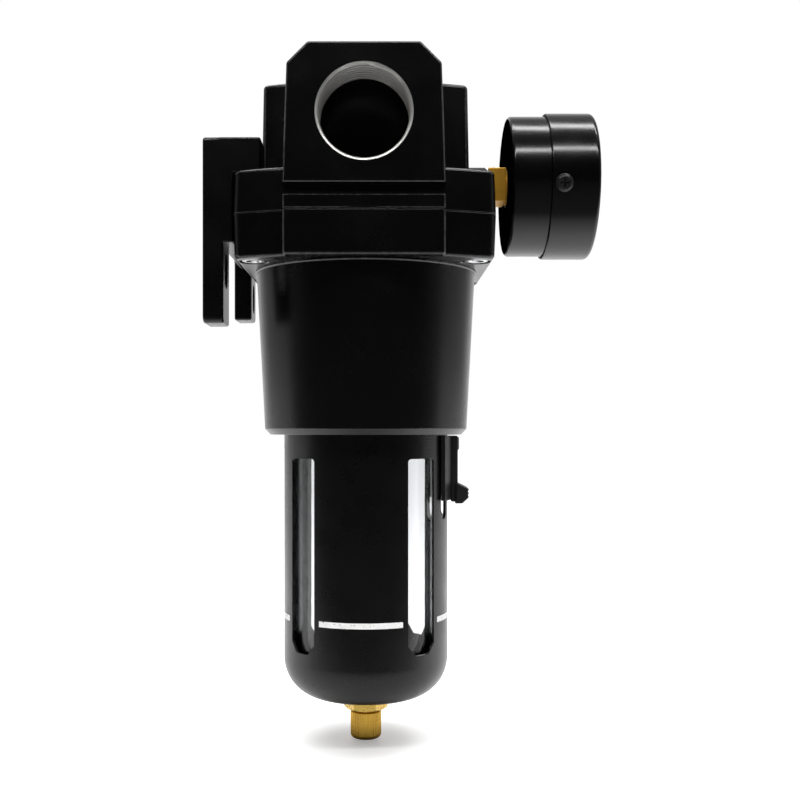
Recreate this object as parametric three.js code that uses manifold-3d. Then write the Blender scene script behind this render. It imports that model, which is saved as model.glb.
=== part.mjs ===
// A modular compressed air filter: die-cast head with through ports, housing, bayonet bowl with
// guard, sliding lock, screw drain, wall bracket and a back-mounted dial gauge on its right side.
// Millimetres, +Z up. The dimensions are measured from where the port axis (Y, inlet at -Y) crosses
// the bowl axis (Z), with the gauge at +X and the wall at -X. At the end the whole group is moved so
// that its origin is the point WALL_POINT on the bracket's wall face.
import * as THREE from "three";
import { mergeVertices } from "three/addons/utils/BufferGeometryUtils.js";
import Module from "manifold-3d";

const wasm = await Module();
wasm.setup();

// ---------------------------------------------------------------- driving dimensions
const FINE = 28; // segments of the large round bodies
const MEDIUM = 24; // segments of the discs, seals and drain pieces
const SMALL = 12; // segments of screws, bores and shafts
const GAP = 0.3; // clearance between pieces that rest on each other
const OVER = 1; // how far a cutting tool reaches past the face that it opens
const DEGREES = Math.PI / 180;

const PORT = {
  halfLength: 45, // the two port faces stand at Y = -45 and +45
  mouthRadius: 16.5, // one-inch taper thread
  threadRadius: 15.4,
  threadDepth: 17,
  boreRadius: 15,
  wallY: -20, // end of the inlet bore
  outletEndY: -6,
};
const HEAD = {
  top: 23,
  bottom: -32,
  halfWidthLow: 26.9,
  halfWidthHigh: 25.6,
  shoulder: 16, // where the top chamfers start
  chamferWidth: 7,
  grooveLow: -27.3,
  grooveHigh: -23.3,
  grooveDepth: 2.5,
  passageRadius: 12,
  tubeRadius: 15,
  chamberRadius: 33,
  chamberTop: -26,
};
const DROP = { halfX: 14, frontY: -34 }; // the passage from the inlet down to the outer chamber
const BRIDGE = { halfX: 12.5, halfY: 2.5, top: -24, hubRadius: 5, holeRadius: 3.25, holeTop: -24.8 };
const FLANGE = { halfX: 44.5, halfY: 45, bow: 116, corner: 4, draft: 0.5, blockHalfX: 27 };
const UPPER_FLANGE_TOP = -17.5;
const LOWER_FLANGE_BOTTOM = -47.2;
const HOUSING_TOP = HEAD.bottom - 0.2;
const CROSS = { halfX: 37.5, halfY: 17, top: 19.3, bottom: -20, draft: 0.7, corner: 1 };
const GAUGE_BOSS = { startX: 36, radius: 7.2, holeRadius: 4.95, holeStart: 34.5, sensingRadius: 2 };
const CORNER_SCREW = {
  x: 38.2,
  y: 28,
  headRadius: 4.25,
  headLength: 5,
  shankRadius: 2.5,
  shankLength: 20,
  socketFlats: 4,
  tappedRadius: 2.65,
  tappedDepth: 12,
  clearRadius: 2.8,
  sinkRadius: 5,
  sinkDepth: 5.5,
};
const HOUSING_RING = { inner: 36, outer: 39, depth: 2.5, radius: 37.5, wire: 1.15, sink: 1.45 };

const BARREL = { top: -40, topRadius: 40, lowRadius: 37, low: -104.5, endRadius: 35, end: -106.6 };
const BOWL_SEAT = { cavityRadius: 34, cavityEnd: -84, boreRadius: 31.3, boreStart: -85.5 };
const BAYONET = { top: -98.9, bottom: -103.1, radius: 33.6, lipRadius: 30.7, lugHalfWidth: 4, count: 4 };
const ENTRY = { startX: 28, clearance: 0.6 }; // the gaps that let the lugs in
const BOWL_CLOCKING = -3 * DEGREES; // the guard's lock stands 3 degrees off the X axis
const UNLOCK_TURN = Math.PI / 4;

const BRACKET = {
  back: -55.2,
  legFront: -48.1,
  padFront: -44.8, // the pad rests on the side of the flanges
  nearY: -32.2, // flush with the straight part of the flange's side
  farY: 65.5,
  legWidth: 15.5,
  legChamfer: 2,
  top: -5.1,
  webBottom: -34,
  padBottom: -41,
  nearLegBottom: -68.5,
  farLegBottom: -59.5,
  lipFront: -35.4, // the lips reach over the top of the upper flange
  lipBottom: -17.2,
  lipInnerY: 18.2,
  slotRadius: 3.1,
  slotTop: -44,
  slotBottom: -56,
};
const BRACKET_SCREW = {
  y: 22,
  z: -24.6,
  sinkRadius: 5.5,
  sinkDepth: 6.5,
  headRadius: 5,
  headLength: 6,
  shankRadius: 2.9,
  shankLength: 12.8,
  clearRadius: 3.3,
  tappedRadius: 3.2,
  tappedEnd: -32.5,
  socketFlats: 5,
};
const WALL_POINT = { x: BRACKET.back, z: -20 }; // in the middle plane of the head

const DEFLECTOR = { bore: 12.4, discRadius: 25, rimRadius: 26, bottom: -39.4, plate: 2, rimHeight: 5 };
const VANE = { start: 24, end: 33.4, halfThickness: 0.8, halfHeight: 3.6, z: -36.1, pitch: 40, count: 8 };
const ELEMENT = { inner: 16.5, outer: 24, top: -41.2, bottom: -97 };
const GASKET = { inner: 16.8, outer: 23.5, top: -39.7, bottom: -41 };
const STUD = { radius: 3, top: -25, bottom: -107.8 };
const BAFFLE = { bore: 3.4, hubRadius: 9, radius: 23.5, top: -97.3, edge: -100, bottom: -104 };
const BAFFLE_NUT = { flats: 10, bore: 3.3, top: -104.3, bottom: -108.5 };

const GUARD = {
  outer: 30,
  inner: 29,
  top: -99,
  straightEnd: -189.2,
  corner: 13,
  bottom: -202.2,
  holeRadius: 8,
  slotTop: -115,
  slotBottom: -183.5,
  slotHalfWidth: 6.24,
  slotChamfer: 3.2,
  slotTopChamfer: 1,
  lugSink: 0.6,
};
const BOWL = {
  outer: 27.7,
  inner: 24.9,
  top: -88,
  flangeRadius: 31,
  flangeBottom: -98.3,
  straightEnd: -189,
  corner: 11,
  innerCorner: 8.2,
  bossRadius: 7,
  bossBottom: -203,
  bossHole: 5.1,
  ringGrooveRadius: 28.8,
  ringGrooveTop: -91,
  ringGrooveBottom: -94.2,
  ringRadius: 29.98,
  ringWire: 1.05,
  ringZ: -92.6,
};
const LOCK = {
  halfAngle: 24,
  inner: 30.3,
  outer: 31.9,
  top: -107,
  bottom: -130.2,
  windowAngle: 17,
  windowRadius: 3,
  windowTop: -110,
  windowBottom: -137,
};
const LOCK_RIB = { start: 31.2, end: 33.8, halfWidth: 5, drop: 0.8 };
const LOCK_TAB = { start: 33, end: 37.2, halfWidth: 6, bottom: -131.4, top: -125.9 };
const LOCK_RIDGE = { depth: 0.6, height: 0.7, bottoms: [-130.4, -128.9, -127.4] };
const LOCK_HOOK = { inner: 27.98, outer: 28.72, neck: 28.3, halfWidth: 2.2, halfAngle: 8, bottom: -124 };
const LOCK_HOOK_TOP = -113;
const SPRING = { x: 31.8, coilRadius: 1, wireRadius: 0.25, bottom: -129.4, top: -115.3, turns: 6, lift: 0.05 };
const SPRING_SHELF = { halfWidth: 1.6, end: 32.6, bottom: -130.2, top: -129.5 };
const SPRING_POCKET = { start: 29, end: 33.1, halfWidth: 2, top: -115.1 };

const DRAIN = {
  flangeRadius: 7.5,
  flangeTop: -193.1,
  flangeBottom: -195.6,
  bodyRadius: 4.9,
  bodyBottom: -207.3,
  boreRadius: 2.8,
  throatRadius: 1.4,
  seatTop: -195.9,
  seatBottom: -197.3,
};
const DRAIN_NUT = { top: -203.3, flats: 14, bore: 5.08, chamfer: 0.9, topChamfer: 0.6 };
const DRAIN_SEAL = { inner: 5.2, outer: 7.4, bottom: -196.9, top: -195.9 };
const KNOB = {
  radius: 5.65,
  ribs: 16,
  ribDepth: 0.3,
  top: -207.6,
  gripTop: -208,
  bottom: -218.2,
  footChamfer: 1.2,
  collarRadius: 4.6,
  stemRadius: 2.5,
  stemEnd: -197.7,
  tipRadius: 1,
  tip: -196.2,
  ringZ: -203,
  ringHalfWidth: 0.5,
  ringRoot: 1.95,
  outletRadius: 1,
  outletTop: -198.4,
  crossHoleRadius: 0.7,
  crossHoleZ: -199.1,
};
const STEM_RING = { radius: 2.37, wire: 0.35 };

// The gauge's own heights are measured along +X from the back of its case.
const GAUGE = {
  x: 51.4,
  z: -15.5,
  caseRadius: 25.2,
  wall: 1,
  depth: 26,
  backHole: 7,
  backEdge: 1.2,
  ringRadius: 26.3,
  ringClearance: 0.15,
  ringStart: 13.5,
  ringCorner: 3,
  end: 30.6,
  lipRadius: 22.8,
  lipThickness: 1.1,
};
const STEM = {
  threadRadius: 4.7,
  threadStart: -16,
  squareHalf: 6.1,
  squareStart: -6.7,
  neckRadius: 6.6,
  neckEnd: 1.6,
  blockHalfX: 4,
  blockLow: -19,
  blockHigh: 5,
  blockTop: 9,
  boreRadius: 1,
};
const CASE_SCREW = {
  angles: [-171.2, 8.8], // just under the horizontal on the side that faces -Y, and opposite
  height: 17.5,
  boreRadius: 1.7,
  shankRadius: 1.35,
  shankStart: 22.5,
  headStart: 26.5,
  headRadius: 3.15,
  headEdge: 27.3,
  headTopRadius: 2.4,
  headTop: 28.1,
  crossBottom: 27.2,
  crossHalfLength: 1.6,
  crossHalfWidth: 0.35,
};
const DIAL = { radius: 23.8, bottom: 20.6, top: 21.2, centreHole: 1.5, screwHole: 1.2 };
const DIAL_SCREW = { x: 5.5, y: -9, shank: 0.9, head: 1.6, bottom: 18.3, neck: 21.4, top: 22.2, slotHalf: 0.2 };
const WINDOW = { radius: 24.9, bottom: 26.9, top: 29.2 };
const POINTER = {
  bottom: 22.5,
  top: 23.6,
  hubRadius: 2.5,
  hubTop: 23.8,
  boreRadius: 1,
  boreTop: 23.4,
  zeroAngle: 225,
};
const SHAFT = { radius: 0.8, bottom: 9.4, top: 23.2, pinionBottom: 13, pinionTop: 14.8 };
const GEAR = { module: 0.4, pinionTeeth: 10, wheelTeeth: 60, sectorTeeth: 11, sectorStart: 39 };
const PINION_RADIUS = (GEAR.module * GEAR.pinionTeeth) / 2;
const SECTOR_RADIUS = (GEAR.module * GEAR.wheelTeeth) / 2;
const SECTOR_PIVOT_Y = -(PINION_RADIUS + SECTOR_RADIUS);
const SECTOR = {
  bottom: 13.4,
  top: 14.4,
  hubRadius: 1.8,
  hubBottom: 13.2,
  hubTop: 14.8,
  arborBottom: 10.5,
  arborTop: 17.7,
};
const TAIL = { length: 9, angle: -22.5, halfWidth: 1.1, pinRadius: 0.6, pinBottom: 11.9 }; // at rest
const LINK = { bottom: 12.2, top: 12.9, halfWidth: 0.6, eyeRadius: 1.5, endRadius: 1.3, boreRadius: 0.85 };
const BOURDON = { radius: 17, z: 7, height: 4, thickness: 1.2, start: 4.6, end: 254.6 };
const TIP_POST = { halfX: 1.4, startY: 0.9, endY: 2.9, top: 11.8 };
const FRAME = {
  halfX: 7,
  lowY: -19,
  highY: 5.5,
  plates: [[10.2, 11.2], [17, 18]],
  pillars: [[-5.5, -17.5], [5.5, 4]],
  pillarRadius: 1.2,
  feet: [[-18.8, -17], [2.8, 4.6]],
  footHalfX: 3.5,
  footBottom: 9.3,
  bearingRadius: 1.1,
};

// ---------------------------------------------------------------- materials
function finish(color, roughness, metalness, opacity = 1) {
  return new THREE.MeshStandardMaterial({ color, roughness, metalness, opacity, transparent: opacity < 1 });
}
const blackPaint = finish(0x141517, 0.45, 0.1);
const satinBlack = finish(0x26282a, 0.5, 0.2);
const blackPlastic = finish(0x1b1c1d, 0.55, 0);
const clearPlastic = finish(0xdfe6e8, 0.08, 0, 0.35);
const rubber = finish(0x151515, 0.9, 0);
const zincSteel = finish(0xc9ccd0, 0.28, 1);
const stainless = finish(0xb9bbbe, 0.3, 1);
const brass = finish(0xc79a3b, 0.3, 1);
const filterMedia = finish(0xe9e4d8, 0.95, 0);
const whitePlastic = finish(0xe8e8e6, 0.5, 0);
const dialWhite = finish(0xf2f2f0, 0.6, 0);
const glass = finish(0xe6eef0, 0.05, 0, 0.3);

// ---------------------------------------------------------------- solids
const [X, Y, Z] = [new THREE.Vector3(1, 0, 0), new THREE.Vector3(0, 1, 0), new THREE.Vector3(0, 0, 1)];
const alongAxis = {
  x: new THREE.Matrix4().makeBasis(Y, Z, X), // an outline of (y, z)
  y: new THREE.Matrix4().makeBasis(Z, X, Y), // an outline of (z, x)
  z: new THREE.Matrix4(), // an outline of (x, y)
};

// A closed three.js geometry as a manifold solid, turned right side out.
function solid(geometry) {
  const loose = geometry.index ? geometry.toNonIndexed() : geometry;
  const bare = new THREE.BufferGeometry().setAttribute("position", loose.getAttribute("position"));
  const merged = mergeVertices(bare, 1e-4);
  const triVerts = new Uint32Array(merged.index.array);
  const vertProperties = new Float32Array(merged.attributes.position.array);
  const make = () => new wasm.Manifold(new wasm.Mesh({ numProp: 3, vertProperties, triVerts }));
  const made = make();
  if (made.volume() >= 0) return made;
  for (let i = 0; i < triVerts.length; i += 3) {
    [triVerts[i + 1], triVerts[i + 2]] = [triVerts[i + 2], triVerts[i + 1]];
  }
  return make();
}

function geometryOf(made) {
  const mesh = made.getMesh();
  const positions = new Float32Array(mesh.numVert * 3);
  for (let i = 0; i < mesh.numVert; i++) {
    positions.set(mesh.vertProperties.subarray(i * mesh.numProp, i * mesh.numProp + 3), i * 3);
  }
  const geometry = new THREE.BufferGeometry();
  geometry.setAttribute("position", new THREE.BufferAttribute(positions, 3));
  geometry.setIndex(new THREE.BufferAttribute(new Uint32Array(mesh.triVerts), 1));
  geometry.computeVertexNormals();
  return geometry;
}

const solidOf = (piece) => (piece.isBufferGeometry ? solid(piece) : piece);
const join = (...pieces) => pieces.map(solidOf).reduce((whole, piece) => whole.add(piece));
const cut = (body, ...tools) => tools.map(solidOf).reduce((rest, tool) => rest.subtract(tool), solidOf(body));

// ---------------------------------------------------------------- closed shapes, as three.js geometries
function box(low, high) {
  const size = high.map((value, i) => value - low[i]);
  const middle = high.map((value, i) => (value + low[i]) / 2);
  return new THREE.BoxGeometry(...size).translate(...middle);
}

// A profile of [radius, height] turned about an axis through `at`.
function turned(profile, segments = FINE, axis = "z", at = [0, 0, 0]) {
  const points = profile.map(([radius, height]) => new THREE.Vector2(radius, height));
  const lathe = new THREE.LatheGeometry(points, segments).rotateX(Math.PI / 2);
  return lathe.applyMatrix4(alongAxis[axis]).translate(...at);
}

function rod(axis, radius, from, to, at = [0, 0, 0], segments = SMALL) {
  return turned([[0, from], [radius, from], [radius, to], [0, to]], segments, axis, at);
}

function ring(inner, outer, from, to, segments = FINE) {
  return turned([[inner, from], [outer, from], [outer, to], [inner, to], [inner, from]], segments);
}

function torus(radius, wire, height, segments = FINE, sides = 6) {
  return new THREE.TorusGeometry(radius, wire, sides, segments).translate(0, 0, height);
}

// An outline pushed from one height to another along an axis.
function prism(outline, from, to, axis = "z") {
  const points = outline.map(([a, b]) => new THREE.Vector2(a, b));
  const pushed = new THREE.ExtrudeGeometry(new THREE.Shape(points), { depth: to - from, bevelEnabled: false });
  return pushed.translate(0, 0, from).applyMatrix4(alongAxis[axis]);
}

// Points on an arc, in degrees.
function arc(centreA, centreB, radius, start, end, steps = 6) {
  return Array.from({ length: steps + 1 }, (_, i) => {
    const angle = (start + ((end - start) * i) / steps) * DEGREES;
    return [centreA + radius * Math.cos(angle), centreB + radius * Math.sin(angle)];
  });
}

function polygon(sides, flats, from, to, axis = "z") {
  const corner = flats / 2 / Math.cos(Math.PI / sides);
  return prism(arc(0, 0, corner, 0, 360 - 360 / sides, sides - 1), from, to, axis);
}

// A slot outline: two half circles joined by straight sides, long in the second coordinate.
function slotOutline(middle, radius, low, high) {
  return [
    ...arc(middle, high - radius, radius, 0, 180, 6),
    ...arc(middle, low + radius, radius, 180, 360, 6),
  ];
}

// Copies of a shape, turned about the Z axis to each angle in degrees.
const turnedCopies = (make, angles) => angles.map((angle) => make().rotateZ(angle * DEGREES));
const everyTurn = (count, start = 0) => Array.from({ length: count }, (_, i) => start + (i * 360) / count);

function part(name, made, material) {
  const mesh = new THREE.Mesh(geometryOf(solidOf(made)), material);
  mesh.name = name;
  return mesh;
}

// ---------------------------------------------------------------- head and housing
// Half the width of the bowed flange at x.
const bowedY = (x) => FLANGE.halfY - (FLANGE.bow - Math.sqrt(FLANGE.bow ** 2 - x ** 2));

// A flange plan with straight sides in X, bowed sides in Y and rounded corners.
function bowedOutline(halfX, corner, inset = 0) {
  const quarter = [];
  const steps = 6;
  for (let i = 0; i <= steps; i++) {
    const x = ((halfX - corner) * i) / steps;
    quarter.push([x, bowedY(x) - inset]);
  }
  const cornerY = bowedY(halfX) - inset - corner;
  quarter.push(...arc(halfX - corner, cornerY, corner, 60, 0, 3));
  const upper = [...quarter.slice(1).reverse(), ...quarter.map(([x, y]) => [-x, y])];
  return [...upper, ...upper.map(([x, y]) => [-x, -y])];
}

// Shrinks the section at one end, as a casting's draft does.
function drafted(geometry, narrowZ, draft, halfX) {
  const position = geometry.getAttribute("position");
  const shrink = (halfX - draft) / halfX;
  for (let i = 0; i < position.count; i++) {
    if (Math.abs(position.getZ(i) - narrowZ) > 1e-3) continue;
    position.setX(i, position.getX(i) * shrink);
    position.setY(i, position.getY(i) * shrink);
  }
  return geometry;
}

function flange(from, to, narrowZ) {
  const plan = prism(bowedOutline(FLANGE.halfX, FLANGE.corner), from, to);
  return drafted(plan, narrowZ, FLANGE.draft, FLANGE.halfX);
}

const cornerPlaces = [[1, -1], [-1, -1], [1, 1], [-1, 1]].map(([sx, sy]) => [
  sx * CORNER_SCREW.x,
  sy * CORNER_SCREW.y,
]);
const bothSides = [-1, 1];

function portBlock() {
  const { top, bottom, halfWidthLow: low, halfWidthHigh: high, shoulder, chamferWidth } = HEAD;
  const right = [[low, bottom], [low, HEAD.grooveHigh], [high, shoulder], [high - chamferWidth, top]];
  const left = right.map(([x, z]) => [-x, z]).reverse();
  const section = [...right, ...left].map(([x, z]) => [z, x]);
  return prism(section, -PORT.halfLength, PORT.halfLength, "y");
}

function portBore(sign, endY) {
  const threadEnd = sign * (PORT.halfLength - PORT.threadDepth);
  const face = sign * PORT.halfLength;
  const outside = sign * (PORT.halfLength + OVER);
  return turned([
    [0, outside], [PORT.mouthRadius, outside], [PORT.mouthRadius, face], [PORT.threadRadius, threadEnd],
    [PORT.boreRadius, threadEnd], [PORT.boreRadius, endY], [0, endY],
  ], FINE, "y");
}

function endGroove(sign) {
  const faces = [sign * (PORT.halfLength - HEAD.grooveDepth), sign * (PORT.halfLength + OVER)];
  const halfX = HEAD.halfWidthLow + OVER;
  return box([-halfX, Math.min(...faces), HEAD.grooveLow], [halfX, Math.max(...faces), HEAD.grooveHigh]);
}

function headBody() {
  const below = HEAD.bottom - OVER;
  const cross = drafted(
    prism(bowedOutline(CROSS.halfX, CROSS.corner, FLANGE.halfY - CROSS.halfY), CROSS.bottom, CROSS.top),
    CROSS.top, CROSS.draft, CROSS.halfX,
  );
  const { startX, radius, holeRadius, holeStart, sensingRadius } = GAUGE_BOSS;
  const gaugeLine = [0, 0, GAUGE.z];
  const gaugeBoss = rod("x", radius, startX, FLANGE.halfX, gaugeLine, MEDIUM);
  const screwHoles = cornerPlaces.map(([x, y]) =>
    rod("z", CORNER_SCREW.tappedRadius, below, HEAD.bottom + CORNER_SCREW.tappedDepth, [x, y, 0]));
  const bracketHoles = bothSides.map((sign) => rod(
    "x", BRACKET_SCREW.tappedRadius, -FLANGE.halfX - OVER, BRACKET_SCREW.tappedEnd,
    [0, sign * BRACKET_SCREW.y, BRACKET_SCREW.z],
  ));
  const shell = cut(
    join(portBlock(), flange(HEAD.bottom, UPPER_FLANGE_TOP, UPPER_FLANGE_TOP), cross, gaugeBoss),
    portBore(-1, PORT.wallY), portBore(1, PORT.outletEndY), ...bothSides.map(endGroove),
    box([-DROP.halfX, DROP.frontY, below], [DROP.halfX, PORT.wallY, 0]),
    rod("z", HEAD.passageRadius, below, 0, [0, 0, 0], MEDIUM),
    ring(HEAD.tubeRadius, HEAD.chamberRadius, below, HEAD.chamberTop),
    rod("x", holeRadius, holeStart, FLANGE.halfX + OVER, gaugeLine),
    rod("x", sensingRadius, HEAD.passageRadius - OVER, holeStart + OVER, gaugeLine),
    ...screwHoles, ...bracketHoles,
  );
  const low = HEAD.bottom + 0.1; // keeps the bridge clear of the parting face
  const bridge = join(
    box([-BRIDGE.halfX, -BRIDGE.halfY, low], [BRIDGE.halfX, BRIDGE.halfY, BRIDGE.top]),
    rod("z", BRIDGE.hubRadius, low, BRIDGE.top),
  );
  const studHole = rod("z", BRIDGE.holeRadius, below, BRIDGE.holeTop);
  return part("head_body", cut(join(shell, bridge), studHole), blackPaint);
}

function housing() {
  const above = HOUSING_TOP + OVER;
  const below = BARREL.end - OVER;
  const { blockHalfX } = FLANGE;
  const blocks = box(
    [-blockHalfX, -PORT.halfLength, LOWER_FLANGE_BOTTOM],
    [blockHalfX, PORT.halfLength, HOUSING_TOP],
  );
  const barrel = turned([
    [0, BARREL.end], [BARREL.endRadius, BARREL.end], [BARREL.lowRadius, BARREL.low],
    [BARREL.topRadius, LOWER_FLANGE_BOTTOM], [BARREL.topRadius, BARREL.top], [0, BARREL.top],
  ]);
  const cavity = turned([
    [0, below], [BAYONET.lipRadius, below], [BAYONET.lipRadius, BAYONET.bottom],
    [BAYONET.radius, BAYONET.bottom], [BAYONET.radius, BAYONET.top], [BOWL_SEAT.boreRadius, BAYONET.top],
    [BOWL_SEAT.boreRadius, BOWL_SEAT.boreStart], [BOWL_SEAT.cavityRadius, BOWL_SEAT.cavityEnd],
    [BOWL_SEAT.cavityRadius, above], [0, above],
  ]);
  const entryHalf = BAYONET.lugHalfWidth + ENTRY.clearance;
  const lugEntries = turnedCopies(
    () => box([ENTRY.startX, -entryHalf, below], [BAYONET.radius, entryHalf, BAYONET.top]),
    everyTurn(BAYONET.count, (BOWL_CLOCKING + UNLOCK_TURN) / DEGREES),
  );
  const { sinkRadius, sinkDepth, clearRadius } = CORNER_SCREW;
  const screwHoles = cornerPlaces.flatMap(([x, y]) => [
    rod("z", sinkRadius, LOWER_FLANGE_BOTTOM - OVER, LOWER_FLANGE_BOTTOM + sinkDepth, [x, y, 0]),
    rod("z", clearRadius, LOWER_FLANGE_BOTTOM, above, [x, y, 0]),
  ]);
  const ringGroove = ring(HOUSING_RING.inner, HOUSING_RING.outer, HOUSING_TOP - HOUSING_RING.depth, above);
  const body = join(flange(LOWER_FLANGE_BOTTOM, HOUSING_TOP, LOWER_FLANGE_BOTTOM), blocks, barrel);
  return part("housing", cut(body, cavity, ...lugEntries, ...screwHoles, ringGroove), blackPaint);
}

// A socket head screw standing on its head: the head's face is at 0 and the shank points along +Z.
function socketScrew(name, { headRadius, headLength, shankRadius, shankLength, socketFlats }) {
  const edge = headRadius * 0.1;
  const length = headLength + shankLength;
  const socketDepth = headLength * 0.55;
  const blank = turned([
    [0, 0], [headRadius - edge, 0], [headRadius, edge], [headRadius, headLength],
    [shankRadius, headLength], [shankRadius, length], [0, length],
  ], SMALL);
  return part(name, cut(blank, polygon(6, socketFlats, -OVER, socketDepth)), zincSteel);
}

const screwSink = 0.2; // how far a screw's head stands below the face around it

function housingScrews() {
  return cornerPlaces.map(([x, y], i) => {
    const screw = socketScrew(`housing_screw_${i + 1}`, CORNER_SCREW);
    screw.position.set(x, y, LOWER_FLANGE_BOTTOM + screwSink);
    return screw;
  });
}

function wallBracket() {
  const { back, legFront, padFront, nearY, farY, legWidth, legChamfer, top, webBottom } = BRACKET;
  const { nearLegBottom, farLegBottom, slotRadius, slotBottom, slotTop, lipInnerY, lipBottom } = BRACKET;
  const plate = prism([
    [nearY, top], [nearY, nearLegBottom + legChamfer], [nearY + legChamfer, nearLegBottom],
    [nearY + legWidth, nearLegBottom], [nearY + legWidth, webBottom], [farY - legWidth, webBottom],
    [farY - legWidth, farLegBottom], [farY - legChamfer, farLegBottom], [farY, farLegBottom + legChamfer],
    [farY, top],
  ], back, legFront, "x");
  const pad = box([legFront - OVER, nearY, BRACKET.padBottom], [padFront, -nearY, lipBottom]);
  const lips = [[nearY, -lipInnerY], [lipInnerY, -nearY]].map(([startY, endY]) =>
    box([legFront - OVER, startY, lipBottom], [BRACKET.lipFront, endY, top]));
  const slots = [nearY + legWidth / 2, farY - legWidth / 2].map((middle) =>
    prism(slotOutline(middle, slotRadius, slotBottom, slotTop), back - OVER, padFront + OVER, "x"));
  const { clearRadius, sinkRadius, sinkDepth } = BRACKET_SCREW;
  const screwHoles = bothSides.flatMap((sign) => {
    const at = [0, sign * BRACKET_SCREW.y, BRACKET_SCREW.z];
    return [
      rod("x", clearRadius, back - OVER, padFront + OVER, at),
      rod("x", sinkRadius, back - OVER, back + sinkDepth, at),
    ];
  });
  return part("wall_bracket", cut(join(plate, pad, ...lips), ...slots, ...screwHoles), blackPaint);
}

function bracketScrews() {
  return bothSides.map((sign, i) => {
    const screw = socketScrew(`bracket_screw_${i + 1}`, BRACKET_SCREW);
    screw.rotation.y = Math.PI / 2;
    screw.position.set(BRACKET.back + screwSink, sign * BRACKET_SCREW.y, BRACKET_SCREW.z);
    return screw;
  });
}

// ---------------------------------------------------------------- filter set inside the bowl
function deflector() {
  const { bore, discRadius, rimRadius, bottom, plate, rimHeight } = DEFLECTOR;
  const collar = ring(bore, HEAD.tubeRadius, bottom, HEAD.bottom - GAP, MEDIUM);
  const disc = ring(bore, discRadius, bottom, bottom + plate, MEDIUM);
  const rim = ring(discRadius - OVER, rimRadius, bottom, bottom + rimHeight, MEDIUM);
  const { start, end, halfThickness, halfHeight, z, pitch, count } = VANE;
  const vane = () => box([start, -halfThickness, -halfHeight], [end, halfThickness, halfHeight])
    .rotateX(pitch * DEGREES).translate(0, 0, z);
  return part("deflector", join(collar, disc, rim, ...turnedCopies(vane, everyTurn(count))), whitePlastic);
}

function filterSet() {
  const gasket = part("element_gasket", ring(GASKET.inner, GASKET.outer, GASKET.bottom, GASKET.top), rubber);
  const sleeve = ring(ELEMENT.inner, ELEMENT.outer, ELEMENT.bottom, ELEMENT.top);
  const element = part("filter_element", sleeve, filterMedia);
  const stud = part("element_stud", rod("z", STUD.radius, STUD.bottom, STUD.top), stainless);
  const { bore, hubRadius, radius, top, edge, bottom } = BAFFLE;
  const baffle = part("baffle", turned([
    [bore, bottom], [hubRadius, bottom], [radius, edge], [radius, top], [bore, top], [bore, bottom],
  ], MEDIUM), blackPlastic);
  const nutBlank = polygon(6, BAFFLE_NUT.flats, BAFFLE_NUT.bottom, BAFFLE_NUT.top);
  const nutBore = rod("z", BAFFLE_NUT.bore, BAFFLE_NUT.bottom - OVER, BAFFLE_NUT.top + OVER);
  const nut = part("baffle_nut", cut(nutBlank, nutBore), brass);
  return [deflector(), gasket, element, stud, baffle, nut];
}

// ---------------------------------------------------------------- bowl group, in the bowl's own clocking
function bowlGuard() {
  const { outer, inner, top, straightEnd, corner, bottom, holeRadius } = GUARD;
  const wall = outer - inner;
  const shell = turned([
    [outer, top], ...arc(outer - corner, straightEnd, corner, 0, -90, 4), [holeRadius, bottom],
    [holeRadius, bottom + wall], ...arc(outer - corner, straightEnd, corner - wall, -90, 0, 4),
    [inner, top], [outer, top],
  ]);
  const lug = () => box(
    [outer - GUARD.lugSink, -BAYONET.lugHalfWidth, BAYONET.bottom + GAP],
    [BAYONET.radius - GUARD.lugSink, BAYONET.lugHalfWidth, BAYONET.top - GAP],
  );
  const { slotTop, slotBottom, slotHalfWidth: half, slotChamfer, slotTopChamfer } = GUARD;
  const through = [outer / 2, outer + 4 * OVER];
  const slot = () => prism([
    [-half, slotTop - slotTopChamfer], [-half, slotBottom + slotChamfer], [slotChamfer - half, slotBottom],
    [half - slotChamfer, slotBottom], [half, slotBottom + slotChamfer], [half, slotTop - slotTopChamfer],
    [half - slotTopChamfer, slotTop], [slotTopChamfer - half, slotTop],
  ], ...through, "x");
  const windowOutline = slotOutline(0, LOCK.windowRadius, LOCK.windowBottom, LOCK.windowTop);
  const window = () => prism(windowOutline, ...through, "x");
  const openings = [
    ...turnedCopies(slot, everyTurn(4, 45)),
    ...turnedCopies(window, bothSides.map((sign) => sign * LOCK.windowAngle)),
  ];
  const { halfWidth, end, bottom: shelfBottom, top: shelfTop } = SPRING_SHELF;
  const springShelf = box([inner + 0.4, -halfWidth, shelfBottom], [end, halfWidth, shelfTop]);
  const lugs = turnedCopies(lug, everyTurn(BAYONET.count));
  return part("bowl_guard", join(cut(join(shell, ...lugs), ...openings), springShelf), satinBlack);
}

function clearBowl() {
  const { outer, inner, top, flangeRadius, flangeBottom, straightEnd, corner, innerCorner } = BOWL;
  const { ringGrooveRadius, ringGrooveTop, ringGrooveBottom, bossRadius, bossBottom, bossHole } = BOWL;
  return part("bowl", turned([
    [inner, top], [flangeRadius, top], [flangeRadius, ringGrooveTop], [ringGrooveRadius, ringGrooveTop],
    [ringGrooveRadius, ringGrooveBottom], [flangeRadius, ringGrooveBottom],
    [flangeRadius, flangeBottom], [outer, flangeBottom],
    ...arc(outer - corner, straightEnd, corner, 0, -90, 4), [bossRadius, straightEnd - corner],
    [bossRadius, bossBottom], [bossHole, bossBottom], [bossHole, straightEnd - innerCorner],
    ...arc(inner - innerCorner, straightEnd, innerCorner, -90, 0, 4), [inner, top],
  ]), clearPlastic);
}

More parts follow.
